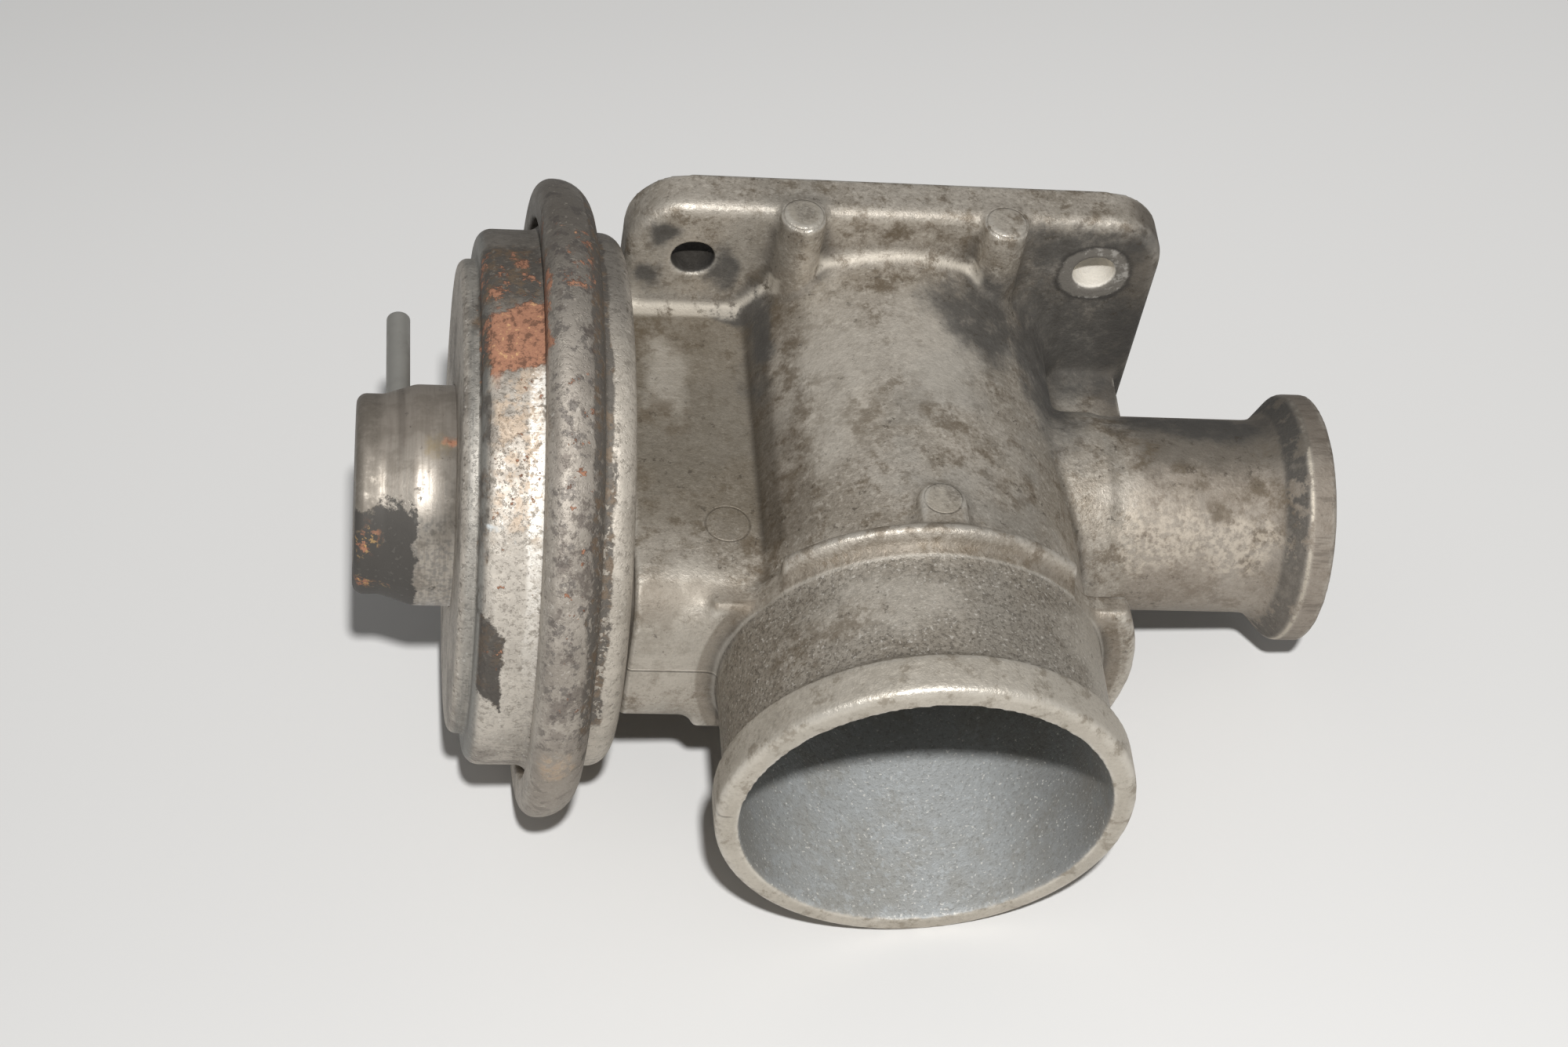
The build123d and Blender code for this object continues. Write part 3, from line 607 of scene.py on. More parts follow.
ROOM_LIGHT = 0.175
world = bpy.data.worlds.new("room")
scene.world = world
world.use_nodes = True
sky = world.node_tree.nodes["Background"]
sky.inputs["Color"].default_value = (1, 1, 1, 1)
sky.inputs["Strength"].default_value = ROOM_LIGHT

scene.view_settings.view_transform = "Standard"

# ---------------------------------------------------------------- finishes
# Places on the casting, in mm: x runs along the valve, y along the throat, z is up.
BOLT_HOLES = ((-32, -7.5, 26), (32, -7.5, 26))
BOLT_HOLE_R, WASHER_R, SEAT_MARK_R = 3.3, 5.6, 6.3
# An ejector pin's mark is its centre, its radius and how far it shows above and below that.
NECK_PIN = (-28.3, -52.6, 16, 3.35, 1)
BOSS_PINS = ((1.2, -58.7, 30.4, 2.9, 1), (-16.1, -8.4, 37.4, 3.2, 0.8), (15.7, -8.4, 37.4, 3.2, 0.8))
PIN_LINE = 0.12
LIP_BACK, COLLAR_FRONT, COLLAR_BACK = -86.6, -68.4, -63.8
FLANGE_BACK = -8.2
BRANCH_FOOT, CONE_X, RIM_X = 34.0, 60.0, 63.5
THROAT_OUTSIDE_R, CLAMP_EDGE_R = 28.0, 18.4

# Each spot is a centre and three radii, in mm.
# Pale patches; the one at the neck's front-top corner is a painted highlight.
PALE_AND_HIGHLIGHT_SPOTS = [
    ((-12, -30, 26), (9, 16, 6)), ((4, -26, 28), (7, 12, 5)), ((-37, -66, 4), (8, 8, 9)),
    ((-34.5, -63, 14), (5, 5, 4)), ((-8, -76, 27), (12, 5, 6)), ((24, -76, 14), (7, 8, 9)),
    ((-36, -22, 16), (4, 7, 3))]
STAINS = [
    ((-18, -33, 22), (3.5, 8, 4)), ((-20, -46, 20), (4, 4, 4)), ((-8, -39, 27), (3.5, 4, 4)),
    ((-15, -77.5, 25), (5, 3.2, 4)), ((-21, -80, 19.6), (4, 3.5, 4)), ((-36.5, -30, 16), (4, 5, 3)),
    ((-38, -14, 16), (5, 5, 4)), ((5, -44, 28), (4, 7, 3)), ((14, -52, 24), (4, 5, 4)),
    ((-24, -58, 16), (3, 6, 5)), ((36, -36, 15), (3, 3, 3)), ((58, -44, 12), (3, 9, 5)),
    ((0, -7.5, 33), (10, 3, 3)), ((-2, -12, 27), (6, 3, 3)), ((-20, -8, 22), (4, 4, 3)),
    ((33, -30, 15), (7, 3, 3)), ((51, -44, 12), (2.6, 2.6, 3)), ((56.5, -42, 13), (2.4, 2.4, 3)),
    ((57, -48.5, 8), (2.2, 4, 4)), ((-18.8, -20, 21), (3.6, 12, 5)), ((44, -41, 14), (3.5, 2, 3))]
SOOT_SPOTS = [
    ((30, -6.5, 10), (15, 8, 20)), ((24, -18, 17), (7, 17, 8)), ((13, -17, 25), (9, 9, 5)),
    ((25, -24, 13), (4, 10, 6)), ((28, -6.5, 32), (13, 3, 4)), ((-27.6, -7.5, 24), (2.4, 2, 4)),
    ((-38, -7.5, 22), (2.5, 2, 3)), ((-36, -7.5, 31), (3, 2, 2.5)), ((-22, -16, 19), (2.6, 12, 4)),
    ((48, -28, 14), (14, 6, 4)), ((-25, -10.5, 16), (4, 2, 3))]
# Painted shade on the two side lugs and on the left of the neck's front-top rounding, toning their highlights
# down.
SHADED_EAR_SPOTS = [
    ((-38.5, -65.5, 13), (4.5, 3, 4)), ((-31, -66, 14.6), (6, 2.6, 2)), ((33, -66, 14.6), (4, 2.6, 2))]
# Painted highlights, mottled, on the near side of the branch.
BRANCH_HIGHLIGHT_SPOTS = [
    ((43, -47, 10), (7, 4, 6)), ((53, -48, 9), (6, 4, 5)), ((37, -47, 9), (3, 6, 6))]


class DieCastAluminium(Finish):
    """Pressure-die-cast aluminium, years in a hot engine bay: warm grey and finely grained, sooty in
    its corners with painted shade deepening them, scuffed bright on its edges with painted highlights
    on them, and with a cleaner, greyer bore full of bright crumbs painted as glints. More painted
    highlights lie on the branch, the bosses and along the collar's foot and two fillets, and more
    painted shade on the neck's top, beside its crease, on the side lugs and at the bore's sides."""

    def __init__(self):
        super().__init__("die_cast_aluminium_aged")
        self.worn, self.proud = (self.add("ShaderNodeAttribute", attribute_name=name).outputs["Fac"]
                                 for name in ("worn", "proud"))
        self.throat = self.distance((0, 0, 0), (1, None, 1))
        self.mottle = self.cloud(8, 4, 0.65)
        self.grain = self.cloud(1.8, 5, 0.72, at=(3, 1, 2))
        self.flecks = self.cloud(0.55, 3, 0.7)
        self.crumbs = self.cloud(0.26, 1, 0.5, at=(5, 0, 0))
        self.speck = self.cloud(0.3, 2, 0.8, at=(0, 5, 9))
        self.dark_speck = self.ramp(self.speck, 0.53, 0.66)
        self.branch = self.ramp(self.x, BRANCH_FOOT, BRANCH_FOOT + 5)
        ragged_y = self.pile((self.grain, 12.0), (self.y, 1.0))
        self.far_side = self.both(self.branch, self.ramp(ragged_y, -36, -30))

    def ground(self):
        """The sound skin, and the broad zones of it."""
        grey = self.ramp(self.cloud(11, 3, at=(2, 2, 0)), 0.52, 0.62)
        colour = self.over(
            tone("9a9184"), ("b3ab9f", self.ramp(self.mottle, 0.42, 0.6)),
            ("776b5b", self.ramp(self.grain, 0.5, 0.64), 0.75),
            ("c1baae", self.ramp(self.flecks, 0.52, 0.7), 0.6), ("595044", self.dark_speck, 0.33),
            ("ddd6ca", self.ramp(self.speck, 0.45, 0.33), 0.22), ("a09c94", grey, 0.4))
        spigot = self.both(self.band(self.y, LIP_BACK, COLLAR_FRONT, 0.2),
                           self.ramp(self.throat, THROAT_OUTSIDE_R, THROAT_OUTSIDE_R + 0.6))
        # Painted shade on the neck's top, strongest away from its front.
        neck = self.both(self.band(self.x, -42, -22, 0.8), self.band(self.z, 13, 17, 1),
                         self.ramp(self.y, -60, -50))
        return self.over(
            colour, ("8f887d", spigot, 0.55),
            ("5d574e", self.both(spigot, self.ramp(self.speck, 0.5, 0.6)), 0.5),
            ("e4dfd6", self.both(spigot, self.ramp(self.crumbs, 0.62, 0.72)), 0.45), ("6b6151", neck, 0.6),
            ("887d71", self.branch, 0.5), ("57524a", self.far_side, 0.65))

    def stained(self, colour):
        """Pale patches, one of them a painted highlight, brown stains, soot, painted shade beside the neck's
        crease, and dark freckles.
        """
        # Pale patches, one of them a painted highlight on the neck's front-top corner.
        pale_and_highlit = self.blots(PALE_AND_HIGHLIGHT_SPOTS, 0.8, 4.0, 0.4)
        self.stain = self.blots(STAINS, 0.9, 2.4, 0.5)
        cone = self.both(self.band(self.x, CONE_X, CONE_X + 2.9, 0.5), self.ramp(self.grain, 0.62, 0.5))
        self.soot = self.either(self.blots(SOOT_SPOTS, 0.8, 3.0, 0.4),
                                self.both(cone, self.ramp(self.y, -56, -40, 1.0, 0.75)))
        # Painted shade beside the neck's crease: a dark band just beyond it and a broader, ragged darkening
        # across the throat's top.
        shaded_valley = self.both(self.band(self.x, -23.4, -20.5, 0.6), self.band(self.y, -58, -12, 2),
                           self.ramp(self.z, 13, 15))
        ragged_x = self.pile((self.mottle, 12.0), (self.x, 1.0))
        crease = self.both(self.ramp(ragged_x, -8, -14), self.ramp(self.x, -24, -22),
                           self.band(self.y, -60, -10, 3), self.ramp(self.z, 13, 16))
        freckles = self.both(self.ramp(self.cloud(0.9, 4, 0.75, at=(9, 0, 0)), 0.6, 0.66),
                             self.ramp(self.mottle, 0.58, 0.44))
        pits = self.ramp(self.cloud(0.5, 3, 0.7, at=(0, 8, 0)), 0.68, 0.74)
        return self.over(
            colour, ("c9c2b6", pale_and_highlit, 0.5),
            ("5f5240", self.both(self.stain, self.ramp(self.grain, 0.4, 0.58)), 0.6),
            ("574d40", crease, 0.4), ("453c30", shaded_valley, 0.5),
            ("4b4946", self.both(self.soot, self.ramp(self.grain, 0.3, 0.5, 1.0, 0.7)), 0.86),
            ("463e34", self.either(freckles, pits), 0.6))

    def pin_ring(self, x, y, z, r, high):
        """The thin ring that an ejector pin leaves."""
        away = self.distance((x, y, z), (1, 1, None))
        ring = self.band(away, r - PIN_LINE, r + PIN_LINE, PIN_LINE)
        return self.both(ring, self.band(self.z, z - high, z + high))

    def boss_top(self, x, y, z, r):
        """The flat top of an ejector boss."""
        away = self.distance((x, y, z), (1, 1, None))
        return self.both(self.ramp(away, r + 0.1, r - 0.3), self.band(self.z, z - 0.8, z + 0.6))

    def edged(self, colour):
        """Dirt and painted shade in the hollows, scuffed edges with painted highlights, the lines and lands
        that tooling left, painted shade on the side lugs, and painted highlights on top of the bosses, along
        the collar's foot and along two fillets.
        """
        lip = self.both(self.ramp(self.y, -86.4, -87.2), self.ramp(self.throat, 27.2, 27.7))
        land = self.both(self.band(self.throat, 31.4, 33.2, 0.3), self.band(self.y, -66.4, COLLAR_BACK, 0.2))
        # Painted shade on the side lugs and the neck's front-top rounding; the collar's land beside them
        # keeps its own darker tone.
        self.shaded_ears = self.blots(SHADED_EAR_SPOTS, 0.5, 2.4, 0.3)
        # A painted highlight on top of the ejector bosses, weaker on the right-hand one.
        lit_boss_tops = self.both(self.either(*[self.boss_top(*pin[:4]) for pin in BOSS_PINS]),
                         self.ramp(self.grain, 0.6, 0.45), self.ramp(self.x, 14, 9, 1.0, 0.3))
        cove = self.both(self.band(self.y, -68.2, -66.4, 0.3), self.band(self.throat, 29.3, 32.2, 0.3))
        # A painted highlight line along the foot of the collar.
        foot_highlight = self.both(self.band(self.y, -68.75, -68.3, 0.15), self.ramp(self.throat, 28.8, 29.1))
        self.pin_marks = self.either(*[self.pin_ring(*pin) for pin in (NECK_PIN, *BOSS_PINS)])
        self.parting = self.both(self.band(self.z, -0.3, 0.1, 0.15), self.ramp(self.y, -67, -67.5),
                                 self.ramp(self.x, -28, -29.5))
        clamp_rim = self.ramp(self.x, RIM_X, RIM_X + 0.5)
        streaks = self.ramp(self.cloud(0.7, 4, 0.7, stretch=(0.12, 1, 1)), 0.48, 0.62)
        away = self.distance((0, VALVE_Y, 0), (None, 1, 1))
        self.rim_line = self.both(self.band(self.x, RIM_X - 0.5, RIM_X, 0.15),
                                  self.ramp(away, CLAMP_EDGE_R, CLAMP_EDGE_R + 0.6),
                                  self.ramp(self.grain, 0.56, 0.48), self.ramp(self.y, -30, -38))
        beside_flange = self.band(self.y, FLANGE_BACK - 2.7, FLANGE_BACK, 0.5)
        # Painted highlights along the fillet round the throat's root beside the flange, and along the fillet
        # between the flange and the neck's top.
        root = self.both(beside_flange, self.band(self.throat, 28.9, 31.4, 0.4), self.ramp(self.z, 15, 16.5),
                         self.ramp(self.x, 16, 13))
        ledge_highlight = self.both(self.band(self.y, FLANGE_BACK - 2.2, FLANGE_BACK, 0.5),
                          self.band(self.x, -41.5, -24.5, 1.0), self.band(self.z, 15.6, 18.4, 0.5))
        fillets = self.both(self.either(root, ledge_highlight), self.ramp(self.grain, 0.64, 0.5))
        low = self.pile((self.grain, 0.6), (self.proud, 1.0))
        sheltered = self.either(self.soot, self.shaded_ears, self.ramp(self.x, 62, 62.8))
        keep = self.between(1.0, (0.4, sheltered))
        # Dirt in the hollows, deepened there by painted shade.
        self.grime_and_shade = self.both(self.ramp(low, 0.18, -0.5, 0.75), keep)
        # Scuffed bright edges, with painted highlights on them.
        self.rubbed_and_highlit = self.both(self.ramp(self.worn, 0.04, 0.2), self.ramp(self.grain, 0.6, 0.42), keep)
        return self.over(
            colour, ("c4bdb0", lip, 0.55),
            ("6f6250", self.both(lip, self.ramp(self.grain, 0.54, 0.64)), 0.35),
            ("81776a", self.either(land, self.shaded_ears), 0.55), ("b3ab9d", lit_boss_tops, 0.7), ("6a5d4c", cove, 0.5),
            ("857b70", clamp_rim, 0.5), ("5f564c", self.both(clamp_rim, streaks), 0.5),
            ("4d453b", self.either(self.pin_marks, self.parting), 0.4), ("3f3931", self.grime_and_shade),
            ("d3cdc2", self.rubbed_and_highlit, 0.6), ("cfc9be", foot_highlight, 0.3), ("d8cfbf", self.rim_line, 0.5),
            ("d9d1c3", fillets, 0.6))

    def bolted(self, colour):
        """What the bolts left, a washer's bright ring on the right; painted light and shade in the holes; and
        painted highlights on the branch.
        """
        from_left, from_right = (self.distance(hole, (1, None, 1)) for hole in BOLT_HOLES)
        near_face = self.both(self.ramp(self.y, -8.6, -8.0), self.ramp(from_right, 3.2, 3.5))
        washer, seat_mark = (
            self.both(self.torn(self.distance(BOLT_HOLES[1], (r, None, r)), 0.2, 1.6, soft), near_face)
            for r, soft in ((WASHER_R, 0.06), (SEAT_MARK_R, 0.08)))
        wall = self.ramp(self.y, -7.9, -7.2)
        left_hole, right_hole = (self.both(self.ramp(away, BOLT_HOLE_R + 0.3, BOLT_HOLE_R), wall)
                                 for away in (from_left, from_right))
        # Painted highlights, mottled, on the branch.
        branch_highlights = self.both(self.blots(BRANCH_HIGHLIGHT_SPOTS, 0.9, 2.0), self.ramp(self.flecks, 0.4, 0.6))
        return self.over(
            colour, ("3c3936", seat_mark, 0.7), ("847f77", washer, 0.85),
            ("cfcbc4", self.both(washer, self.ramp(self.grain, 0.48, 0.4)), 0.5), ("2f2d2b", left_hole, 0.85),
            ("f1ece2", right_hole, 0.9), ("d2c6b5", branch_highlights, 0.45))

    def bored(self, colour):
        """The cleaner inside of the throat."""
        self.bore = self.both(self.ramp(self.throat, 27.6, 27.3), self.ramp(self.y, -20, -30))
        # Painted shade at the bore's sides, darker the further from its middle.
        shaded_flanks = self.ramp(self.distance((0, 0, 0), (1, None, None)), 13, 27)
        film = self.both(self.ramp(self.z, -12, 0), self.ramp(self.grain, 0.4, 0.6))
        # The bright crumbs in the bore are painted glints.
        clean = self.over(
            tone("a9abaa"), ("a09f9a", self.ramp(self.mottle, 0.42, 0.6)),
            ("bcc0c1", self.ramp(self.flecks, 0.5, 0.66), 0.5), ("6d6b67", shaded_flanks, 0.55),
            ("857f76", film, 0.5), ("77756f", self.dark_speck, 0.4),
            ("efece4", self.ramp(self.crumbs, 0.66, 0.74), 0.55))
        return self.over(colour, (clean, self.bore))

    def made(self):
        colour = self.bored(self.bolted(self.edged(self.stained(self.ground()))))
        dull = self.either(self.both(self.soot, 0.9), self.grime_and_shade, self.both(self.stain, 0.6), self.far_side)
        rough = self.between(
            self.ramp(self.flecks, 0.3, 0.7, 0.66, 0.5), (0.7, self.either(self.branch, self.shaded_ears)),
            (0.38, self.rubbed_and_highlit), (0.8, dull), (0.6, self.bore))
        metal = self.between(0.5, (0.35, self.branch), (0.35, dull), (0.25, self.bore), (0.75, self.rim_line))
        height = self.pile((self.speck, -0.6), (self.cloud(0.5, 4, 0.7), 0.9), (self.grain, 0.7),
                           (self.pin_marks, -0.7), (self.parting, 1.5))
        return self.finish(colour, rough, metal, height, 0.13)


class ValveSteel(Finish):
    """A finish for what is turned about the valve axis: it knows the radius and the angle there, in
    degrees from the top towards the spigot."""

    def __init__(self, name):
        super().__init__(name)
        front = self.pile((self.y, -1.0), (1.0, VALVE_Y))
        turn = self.add("ShaderNodeMath", {0: front, 1: self.z}, operation="ARCTAN2")
        self.angle = self.add("ShaderNodeMath", {0: turn}, operation="DEGREES")
        self.off_top = self.add("ShaderNodeMath", {0: self.angle}, operation="ABSOLUTE")
        self.reach = self.distance((0, VALVE_Y, 0), (None, 1, 1))
        self.above = self.ramp(self.off_top, 172, 130)

    def panel(self, x0, x1, a0, a1, ragged=0.3, lump=1.5, soft=0.06, slope=0.0):
        """1 in a torn panel between two stations on the valve axis and two angles round it, whose
        ends slope by so many degrees a mm."""
        half_x, half_a = (x1 - x0) / 2, (a1 - a0) / 2
        middle = (a0 + a1) / 2 - slope * (x0 + x1) / 2
        across = self.distance(((x0 + x1) / 2, 0, 0), (half_x, None, None))
        along = self.pile((self.angle, 1 / half_a), (self.x, -slope / half_a), (1.0, -middle / half_a))
        along = self.add("ShaderNodeMath", {0: along}, operation="ABSOLUTE")
        return self.torn(self.add("ShaderNodeMath", {0: across, 1: along}, operation="MAXIMUM"),
                         ragged, lump, soft)

    def rusted(self, colour, where):
        """Orange-brown rust in clumps, with darker and yellower crumbs in it."""
        crumbs = self.cloud(0.6, 5, 0.75, at=(5, 0, 0))
        return self.over(colour, ("a0735b", where), ("70503f", self.both(where, self.ramp(crumbs, 0.5, 0.6))),
                         ("c59c72", self.both(where, self.ramp(crumbs, 0.42, 0.34))))


# Panels on the can: two stations on the valve axis, two angles, how ragged and how big the tears are.
CLUMPED_RUST = ((-66, -57, -21, 0, 0.5, 3), (-55.2, -50.2, -14, 2, 0.6, 3), (-66, -64.8, 0, 14, 0.4, 2))
SPOTTED_RUST = ((-54.5, -50.5, 20, 80, 0.3, 3), (-64.5, -57, 16, 60, 0.3, 3), (-64.5, -62, 70, 84, 0.4, 2))
RUST_EDGE = [((-64.0, -46.4, 39.7), (1.4, 3.4, 2.2))]
RIM_RUST = [((-51.0, -27, 48.5), (1.8, 3.6, 3)), ((-52.6, -31.5, 49), (1.5, 3, 3))]
RIM_BEIGE = [((-52.9, -83.4, -2), (2.4, 4, 4))]
CHALK_SPOT = [((-62.6, -64.6, 28.4), (1.1, 0.5, 0.6))]
CHALK_CRUMB = [((-60.0, -65.6, 27.4), (0.7, 0.35, 0.4))]


class ZincPlatedSteel(ValveSteel):
    """Pressed steel, zinc plated: grey-beige and spangled where the plating holds, dark where it has
    flaked off, with orange rust on top."""

    def __init__(self):
        super().__init__("zinc_plated_steel_corroded")
        self.mottle = self.cloud(5, 5, 0.65)
        self.grain = self.cloud(1.2, 5, 0.72, at=(2, 0, 0))
        self.flecks = self.cloud(0.45, 3)
        self.dark_speck = self.ramp(self.cloud(0.32, 2, 0.8, at=(0, 3, 7)), 0.53, 0.64)
        self.crown = self.both(self.ramp(self.reach, CLAMP_R - 0.6, CLAMP_R + 1.2),
                               self.ramp(self.x, -RIM_FAR - 0.2, -RIM_FAR + 1.2))

    def plated(self):
        """The plating, darker on the rim's crown and on top, bluish and ridged on the cover's step, with
        painted glints along the crown's far edge.
        """
        spangle = self.ramp(self.cloud(0.4, 2, 0.7, at=(5, 0, 0)), 0.62, 0.7)
        colour = self.over(
            tone("b8b0a5"), ("8f877d", self.ramp(self.mottle, 0.45, 0.62)),
            ("d0c8bc", self.ramp(self.grain, 0.5, 0.7), 0.7),
            ("6a635a", self.ramp(self.flecks, 0.56, 0.66), 0.6), ("e8e3da", spangle, 0.6),
            ("59524a", self.dark_speck, 0.36))
        upper = self.both(self.ramp(self.angle, 28, -14), self.above)
        wall = self.ramp(self.reach, BASE_R - 1.7, BASE_R - 0.2)
        lower = self.ramp(self.off_top, 80, 96)
        shoulder = self.both(self.ramp(self.x, -STEP_X + 1.3, -STEP_X + 0.3),
                             self.ramp(self.reach, STEP_R - 0.5, STEP_R + 0.3))
        ridges = self.ramp(self.cloud(0.5, 3, 0.6, stretch=(1, 0.04, 0.04)), 0.46, 0.6)
        pale_crumbs = self.ramp(self.cloud(0.6, 4, 0.75, at=(3, 3, 3)), 0.6, 0.66)
        # Painted glints along the far edge of the rim's crown.
        self.glints = self.both(self.band(self.x, -56.6, -55.0, 0.3), self.band(self.reach, 43.6, 46.4, 0.4),
                                self.ramp(self.flecks, 0.52, 0.6), self.band(self.angle, 5.7, 57.3, 5.7))
        return self.over(
            colour, ("a49c92", self.crown, 0.6), ("68635c", self.both(upper, wall), 0.7),
            ("5f5955", self.both(self.crown, self.ramp(self.grain, 0.52, 0.6)), 0.7),
            ("8f867b", self.both(lower, self.crown), 0.5),
            ("c3bbae", self.both(self.crown, pale_crumbs), 0.5), ("878681", shoulder, 0.8),
            ("63625e", self.both(shoulder, ridges), 0.5), ("f0ebe2", self.glints, 0.8))

    def brightened(self, colour):
        """Painted light low on the cover's wall, the satin skin over the base, and a painted highlight in a
        bright band beside the rim.
        """
        satin = self.both(self.above, self.ramp(self.x, -RIM_NEAR - 0.1, -RIM_NEAR + 0.9),
                          self.ramp(self.angle, -5, 12))
        # Painted light on the lower front of the cover's wall.
        lit = self.both(self.band(self.angle, 46, 104, 6.9), self.band(self.x, -64.8, -57, 0.4))
        ragged_x = self.pile((self.mottle, 2.0), (self.x, 1.0))
        # A painted highlight: a bright band on the cover beside the rim.
        self.highlight_strip = self.both(
            self.band(ragged_x, -58.0, -55.4, 0.4), self.ramp(self.reach, 43, 42),
            self.ramp(self.angle, 11, 15), self.ramp(self.angle, 96, 30),
            self.ramp(self.grain, 0.64, 0.5), self.ramp(self.flecks, 0.62, 0.5))
        pitted = self.both(self.either(lit, satin),
                           self.ramp(self.cloud(0.6, 5, 0.75, at=(6, 6, 0)), 0.54, 0.62))
        return self.over(colour, ("c6beb1", satin, 0.55), ("cec7bc", lit, 0.55), ("7a7268", pitted, 0.55),
                         ("f6f1e8", self.highlight_strip, 0.95))

    def flaked_off(self, colour):
        """Bare dark steel where the plating has gone."""
        border = self.either(
            self.panel(-50.6, -47.4, -34, 42, 0.9, 2.6, 0.12),
            self.both(self.panel(-50.6, -46.8, 34, 92, 0.9, 2.6, 0.12), self.ramp(self.flecks, 0.62, 0.54)))
        low_patch = self.both(self.panel(-65.6, -61.8, 67, 86, 0.9, 1.6, 0.08, slope=1.6),
                              self.ramp(self.x, -65.5, -65.1))
        step_edge = self.both(self.panel(-66, -64.6, -20, 64, 0.6, 2.0), self.ramp(self.mottle, 0.42, 0.55))
        self.flaked = self.either(self.panel(-66, -57, -24, -3, 0.9, 3.0, 0.2), border, low_patch, step_edge)
        self.scars = self.both(self.panel(-55.4, -50, -10, 84, 0.5, 4, 0.3),
                               self.ramp(self.cloud(2.4, 6, 0.7, at=(4, 4, 0)), 0.53, 0.6))
        bare = self.over(tone("57524c"), ("6d5c4a", self.ramp(self.grain, 0.48, 0.62)),
                         ("8d867c", self.ramp(self.flecks, 0.58, 0.66), 0.6))
        return self.over(colour, (bare, self.flaked, 0.88), ("5f5650", self.scars, 0.65),
                         ("3b3632", low_patch, 0.55))

    def corroded(self, colour):
        """Rust from beige bloom to thick orange, and two chalky crumbs."""
        clumps = self.ramp(self.cloud(1.8, 6, 0.75, at=(1, 3, 0)), 0.53, 0.59)
        spots = self.ramp(self.cloud(1.0, 4, 0.7, at=(7, 3, 0)), 0.62, 0.67)
        self.rust = self.either(
            self.panel(-64.9, -56.6, -2, 14.2, 0.6, 1.8, slope=-0.35), self.blots(RUST_EDGE, 0.5, 1.2),
            self.both(self.either(*[self.panel(*place) for place in CLUMPED_RUST]), clumps),
            self.both(self.either(*[self.panel(*place) for place in SPOTTED_RUST]), spots))
        beige = self.either(
            self.both(self.blots(RIM_BEIGE, 1.0, 1.6), self.ramp(self.grain, 0.42, 0.56)),
            self.both(self.panel(-64, -57.5, 14, 48, 0.7, 3, 0.3), self.ramp(self.grain, 0.44, 0.58)))
        peppered = self.both(self.panel(-64, -57, 14, 70, 0.5, 3), self.dark_speck)
        deep = self.both(self.blots(RIM_RUST, 0.8, 1.8), clumps)
        self.chalk = self.either(self.blots(CHALK_SPOT, 0.9, 0.7, 0.4),
                                 self.blots(CHALK_CRUMB, 0.9, 0.6, 0.5))
        colour = self.over(colour, ("c6ad92", beige, 0.5), ("7c7368", peppered, 0.25), ("74432f", deep, 0.8))
        return self.over(self.rusted(colour, self.rust), ("cdd3d4", self.chalk, 0.8))

    def made(self):
        colour = self.corroded(self.flaked_off(self.brightened(self.plated())))
        crust = self.either(self.rust, self.chalk)
        rough = self.between(self.ramp(self.grain, 0.3, 0.7, 0.68, 0.5), (0.62, self.crown),
                             (0.42, self.highlight_strip), (0.7, self.flaked), (0.9, crust))
        metal = self.between(0.45, (0.6, self.crown), (0.2, self.either(self.highlight_strip, self.glints)),
                             (0.35, self.flaked), (0.03, crust))
        height = self.pile((self.rust, 0.9), (self.flaked, -0.4), (self.scars, -0.2),
                           (self.cloud(0.8, 5, 0.7), 0.8), (self.dark_speck, -0.3))
        return self.finish(colour, rough, metal, height, 0.14)


CAP_GLOW = [((-81.4, -48.8, 6.0), (1.7, 2.4, 3.0)), ((-80.2, -50.6, -2.2), (3.4, 1.6, 1.6))]
CAP_RUST = [((-68.9, -38.2, 16.9), (1.1, 1.3, 1.1))]
CAP_OCHRE = [((-70.8, -39.2, 16.6), (2.2, 3.0, 1.6))]


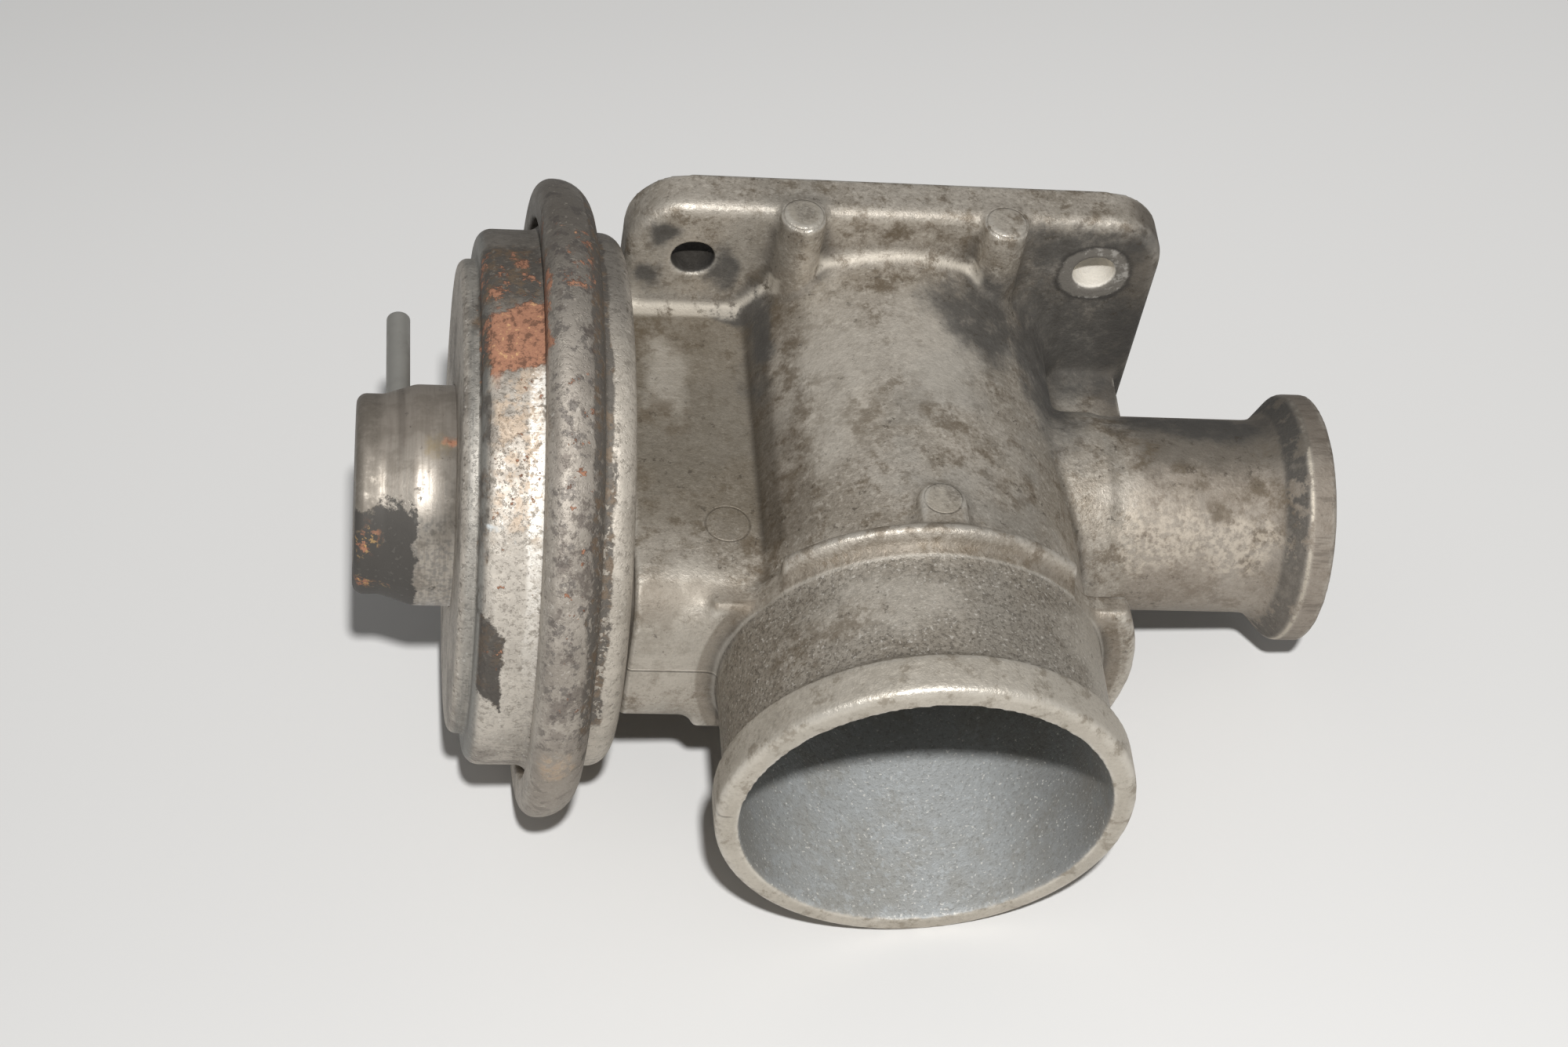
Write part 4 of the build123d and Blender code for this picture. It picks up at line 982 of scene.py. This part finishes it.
class DrawnSteel(ValveSteel):
    """Deep-drawn bright steel with drawing lines round it; a black patch where the finish burnt."""

    def __init__(self):
        super().__init__("drawn_steel_scorched")
        self.lines = self.cloud(0.2, 4, 0.5, stretch=(1, 0.06, 0.06))
        self.grain = self.cloud(1.1, 6, 0.75)
        self.flecks = self.cloud(0.4, 3)

    def drawn(self):
        """The bright skin, duller on top, underneath and towards the tip."""
        mottle = self.cloud(3.2, 4, 0.65)
        self.upper = self.both(self.ramp(self.angle, 40, 0), self.above)
        under = self.ramp(self.pile((mottle, 22.9), (self.off_top, 1.0)), 60.2, 68.8)
        self.tip = self.both(self.ramp(self.x, -78.4, -80.4), self.ramp(self.grain, 0.36, 0.56, 1.0, 0.5))
        return self.over(
            tone("b4aca1"), ("938a80", self.ramp(self.lines, 0.42, 0.66), 0.5), ("8a8177", self.upper, 0.6),
            ("8d8983", self.both(under, self.ramp(self.flecks, 0.42, 0.6)), 0.8),
            ("7f776c", self.ramp(mottle, 0.5, 0.64), 0.5), ("5b554e", self.ramp(self.grain, 0.6, 0.68), 0.75),
            ("756e64", self.tip, 0.8))

    def scorched(self, colour):
        """The burnt patch on the side towards the spigot, and its rust."""
        ragged_reach = self.pile((self.grain, 4.0), (self.reach, 1.0))
        self.burnt = self.both(self.panel(-84.6, -73.9, 47, 150, 0.5, 2.4, 0.04),
                               self.ramp(ragged_reach, 12.6, 13.2))
        dark_band = self.both(self.band(self.x, -77.0, -75.9, 0.3), self.upper)
        glow = self.blots(CAP_GLOW, 0.7, 1.2)
        self.rust = self.either(self.both(glow, self.ramp(self.grain, 0.52, 0.57)),
                                self.blots(CAP_RUST, 0.6, 1.0))
        colour = self.over(
            colour, ("6d655c", dark_band, 0.5), ("4f4c48", self.burnt, 0.97),
            ("716d67", self.both(self.burnt, self.ramp(self.flecks, 0.6, 0.68)), 0.45),
            ("9c8a66", self.blots(CAP_OCHRE, 0.9, 1.5, 0.4), 0.6))
        return self.over(self.rusted(colour, self.rust),
                         ("c9a266", self.both(glow, self.ramp(self.flecks, 0.58, 0.64)), 0.55))

    def made(self):
        colour = self.scorched(self.drawn())
        dulled = self.either(self.upper, self.tip)
        rough = self.between(
            self.ramp(self.lines, 0.3, 0.7, 0.52, 0.36), (0.6, self.ramp(self.grain, 0.52, 0.66)),
            (0.6, dulled), (0.66, self.burnt), (0.88, self.rust))
        metal = self.between(0.75, (0.5, dulled), (0.35, self.burnt), (0.03, self.rust))
        height = self.pile((self.burnt, -0.5), (self.lines, 0.12), (self.grain, 0.6))
        return self.finish(colour, rough, metal, height, 0.08)


def plain(name, code, rough, metal, lump=4.0, shade="6f685f"):
    """A simpler part's surface: one colour, clouded with a darker one, with a fine grain."""
    f = Finish(name)
    colour = f.over(tone(code), (shade, f.ramp(f.cloud(lump, 4), 0.5, 0.8), 0.5))
    roughness = f.ramp(f.cloud(1.5), 0.3, 0.7, rough + 0.08, rough - 0.05)
    return f.finish(colour, roughness, metal, f.cloud(0.5, 3), 0.05)


def dress(piece, material):
    piece.data.materials.clear()
    piece.data.materials.append(material)


dress(housing, DieCastAluminium().made())
steel = ZincPlatedSteel().made()
dress(base, steel)
dress(cover, steel)
dress(cap, DrawnSteel().made())
# Thin drawn tube whose plating has gone a dull, even grey.
dress(nipple, plain("zinc_plated_tube_dull", "a09e98", 0.5, 0.5, 3.0, "6a6862"))
# Bright hardened wire, oiled: dark, with sharp highlights.
dress(spring, plain("spring_steel_wire", "77726b", 0.35, 0.95))
# Rubber moulded over cloth: nearly black and matt.
rubber = plain("fabric_backed_rubber", "2f2c2a", 0.7, 0.0)
dress(inner_fold, rubber)
dress(outer_fold, rubber)
# Lathe-turned stainless, darkened by soot; and plated pressings that stay clean inside the can.
stainless = plain("turned_stainless_sooted", "8e8981", 0.38, 1.0, 3.0, "3b3733")
pressed = plain("plated_steel_clean", "a29a8d", 0.4, 0.95)
# Fibre board is brown-grey and dead matt, the rubbers are near black with a faint sheen, and sintered
# bronze is a dull yellow-brown.
INNER_FINISHES = {
    "base_gasket": plain("compressed_fibre", "4a443c", 0.9, 0.0),
    "manifold_seal": plain("moulded_fluoro_rubber", "2c2a29", 0.55, 0.0),
    "stem_bush": plain("sintered_bronze", "9a7a4c", 0.5, 0.9),
    "stem_seal": plain("moulded_lip_rubber", "2a2827", 0.6, 0.0),
}
INNER_FINISHES.update(dict.fromkeys(("valve_seat", "valve_head", "valve_stem", "stem_scraper"), stainless))
INNER_FINISHES.update(dict.fromkeys(
    ("seal_retainer", "support_plate", "piston_plate", "spring_seat", "base_screws", "stem_nut"), pressed))
for node, material in INNER_FINISHES.items():
    dress(nodes[node], material)
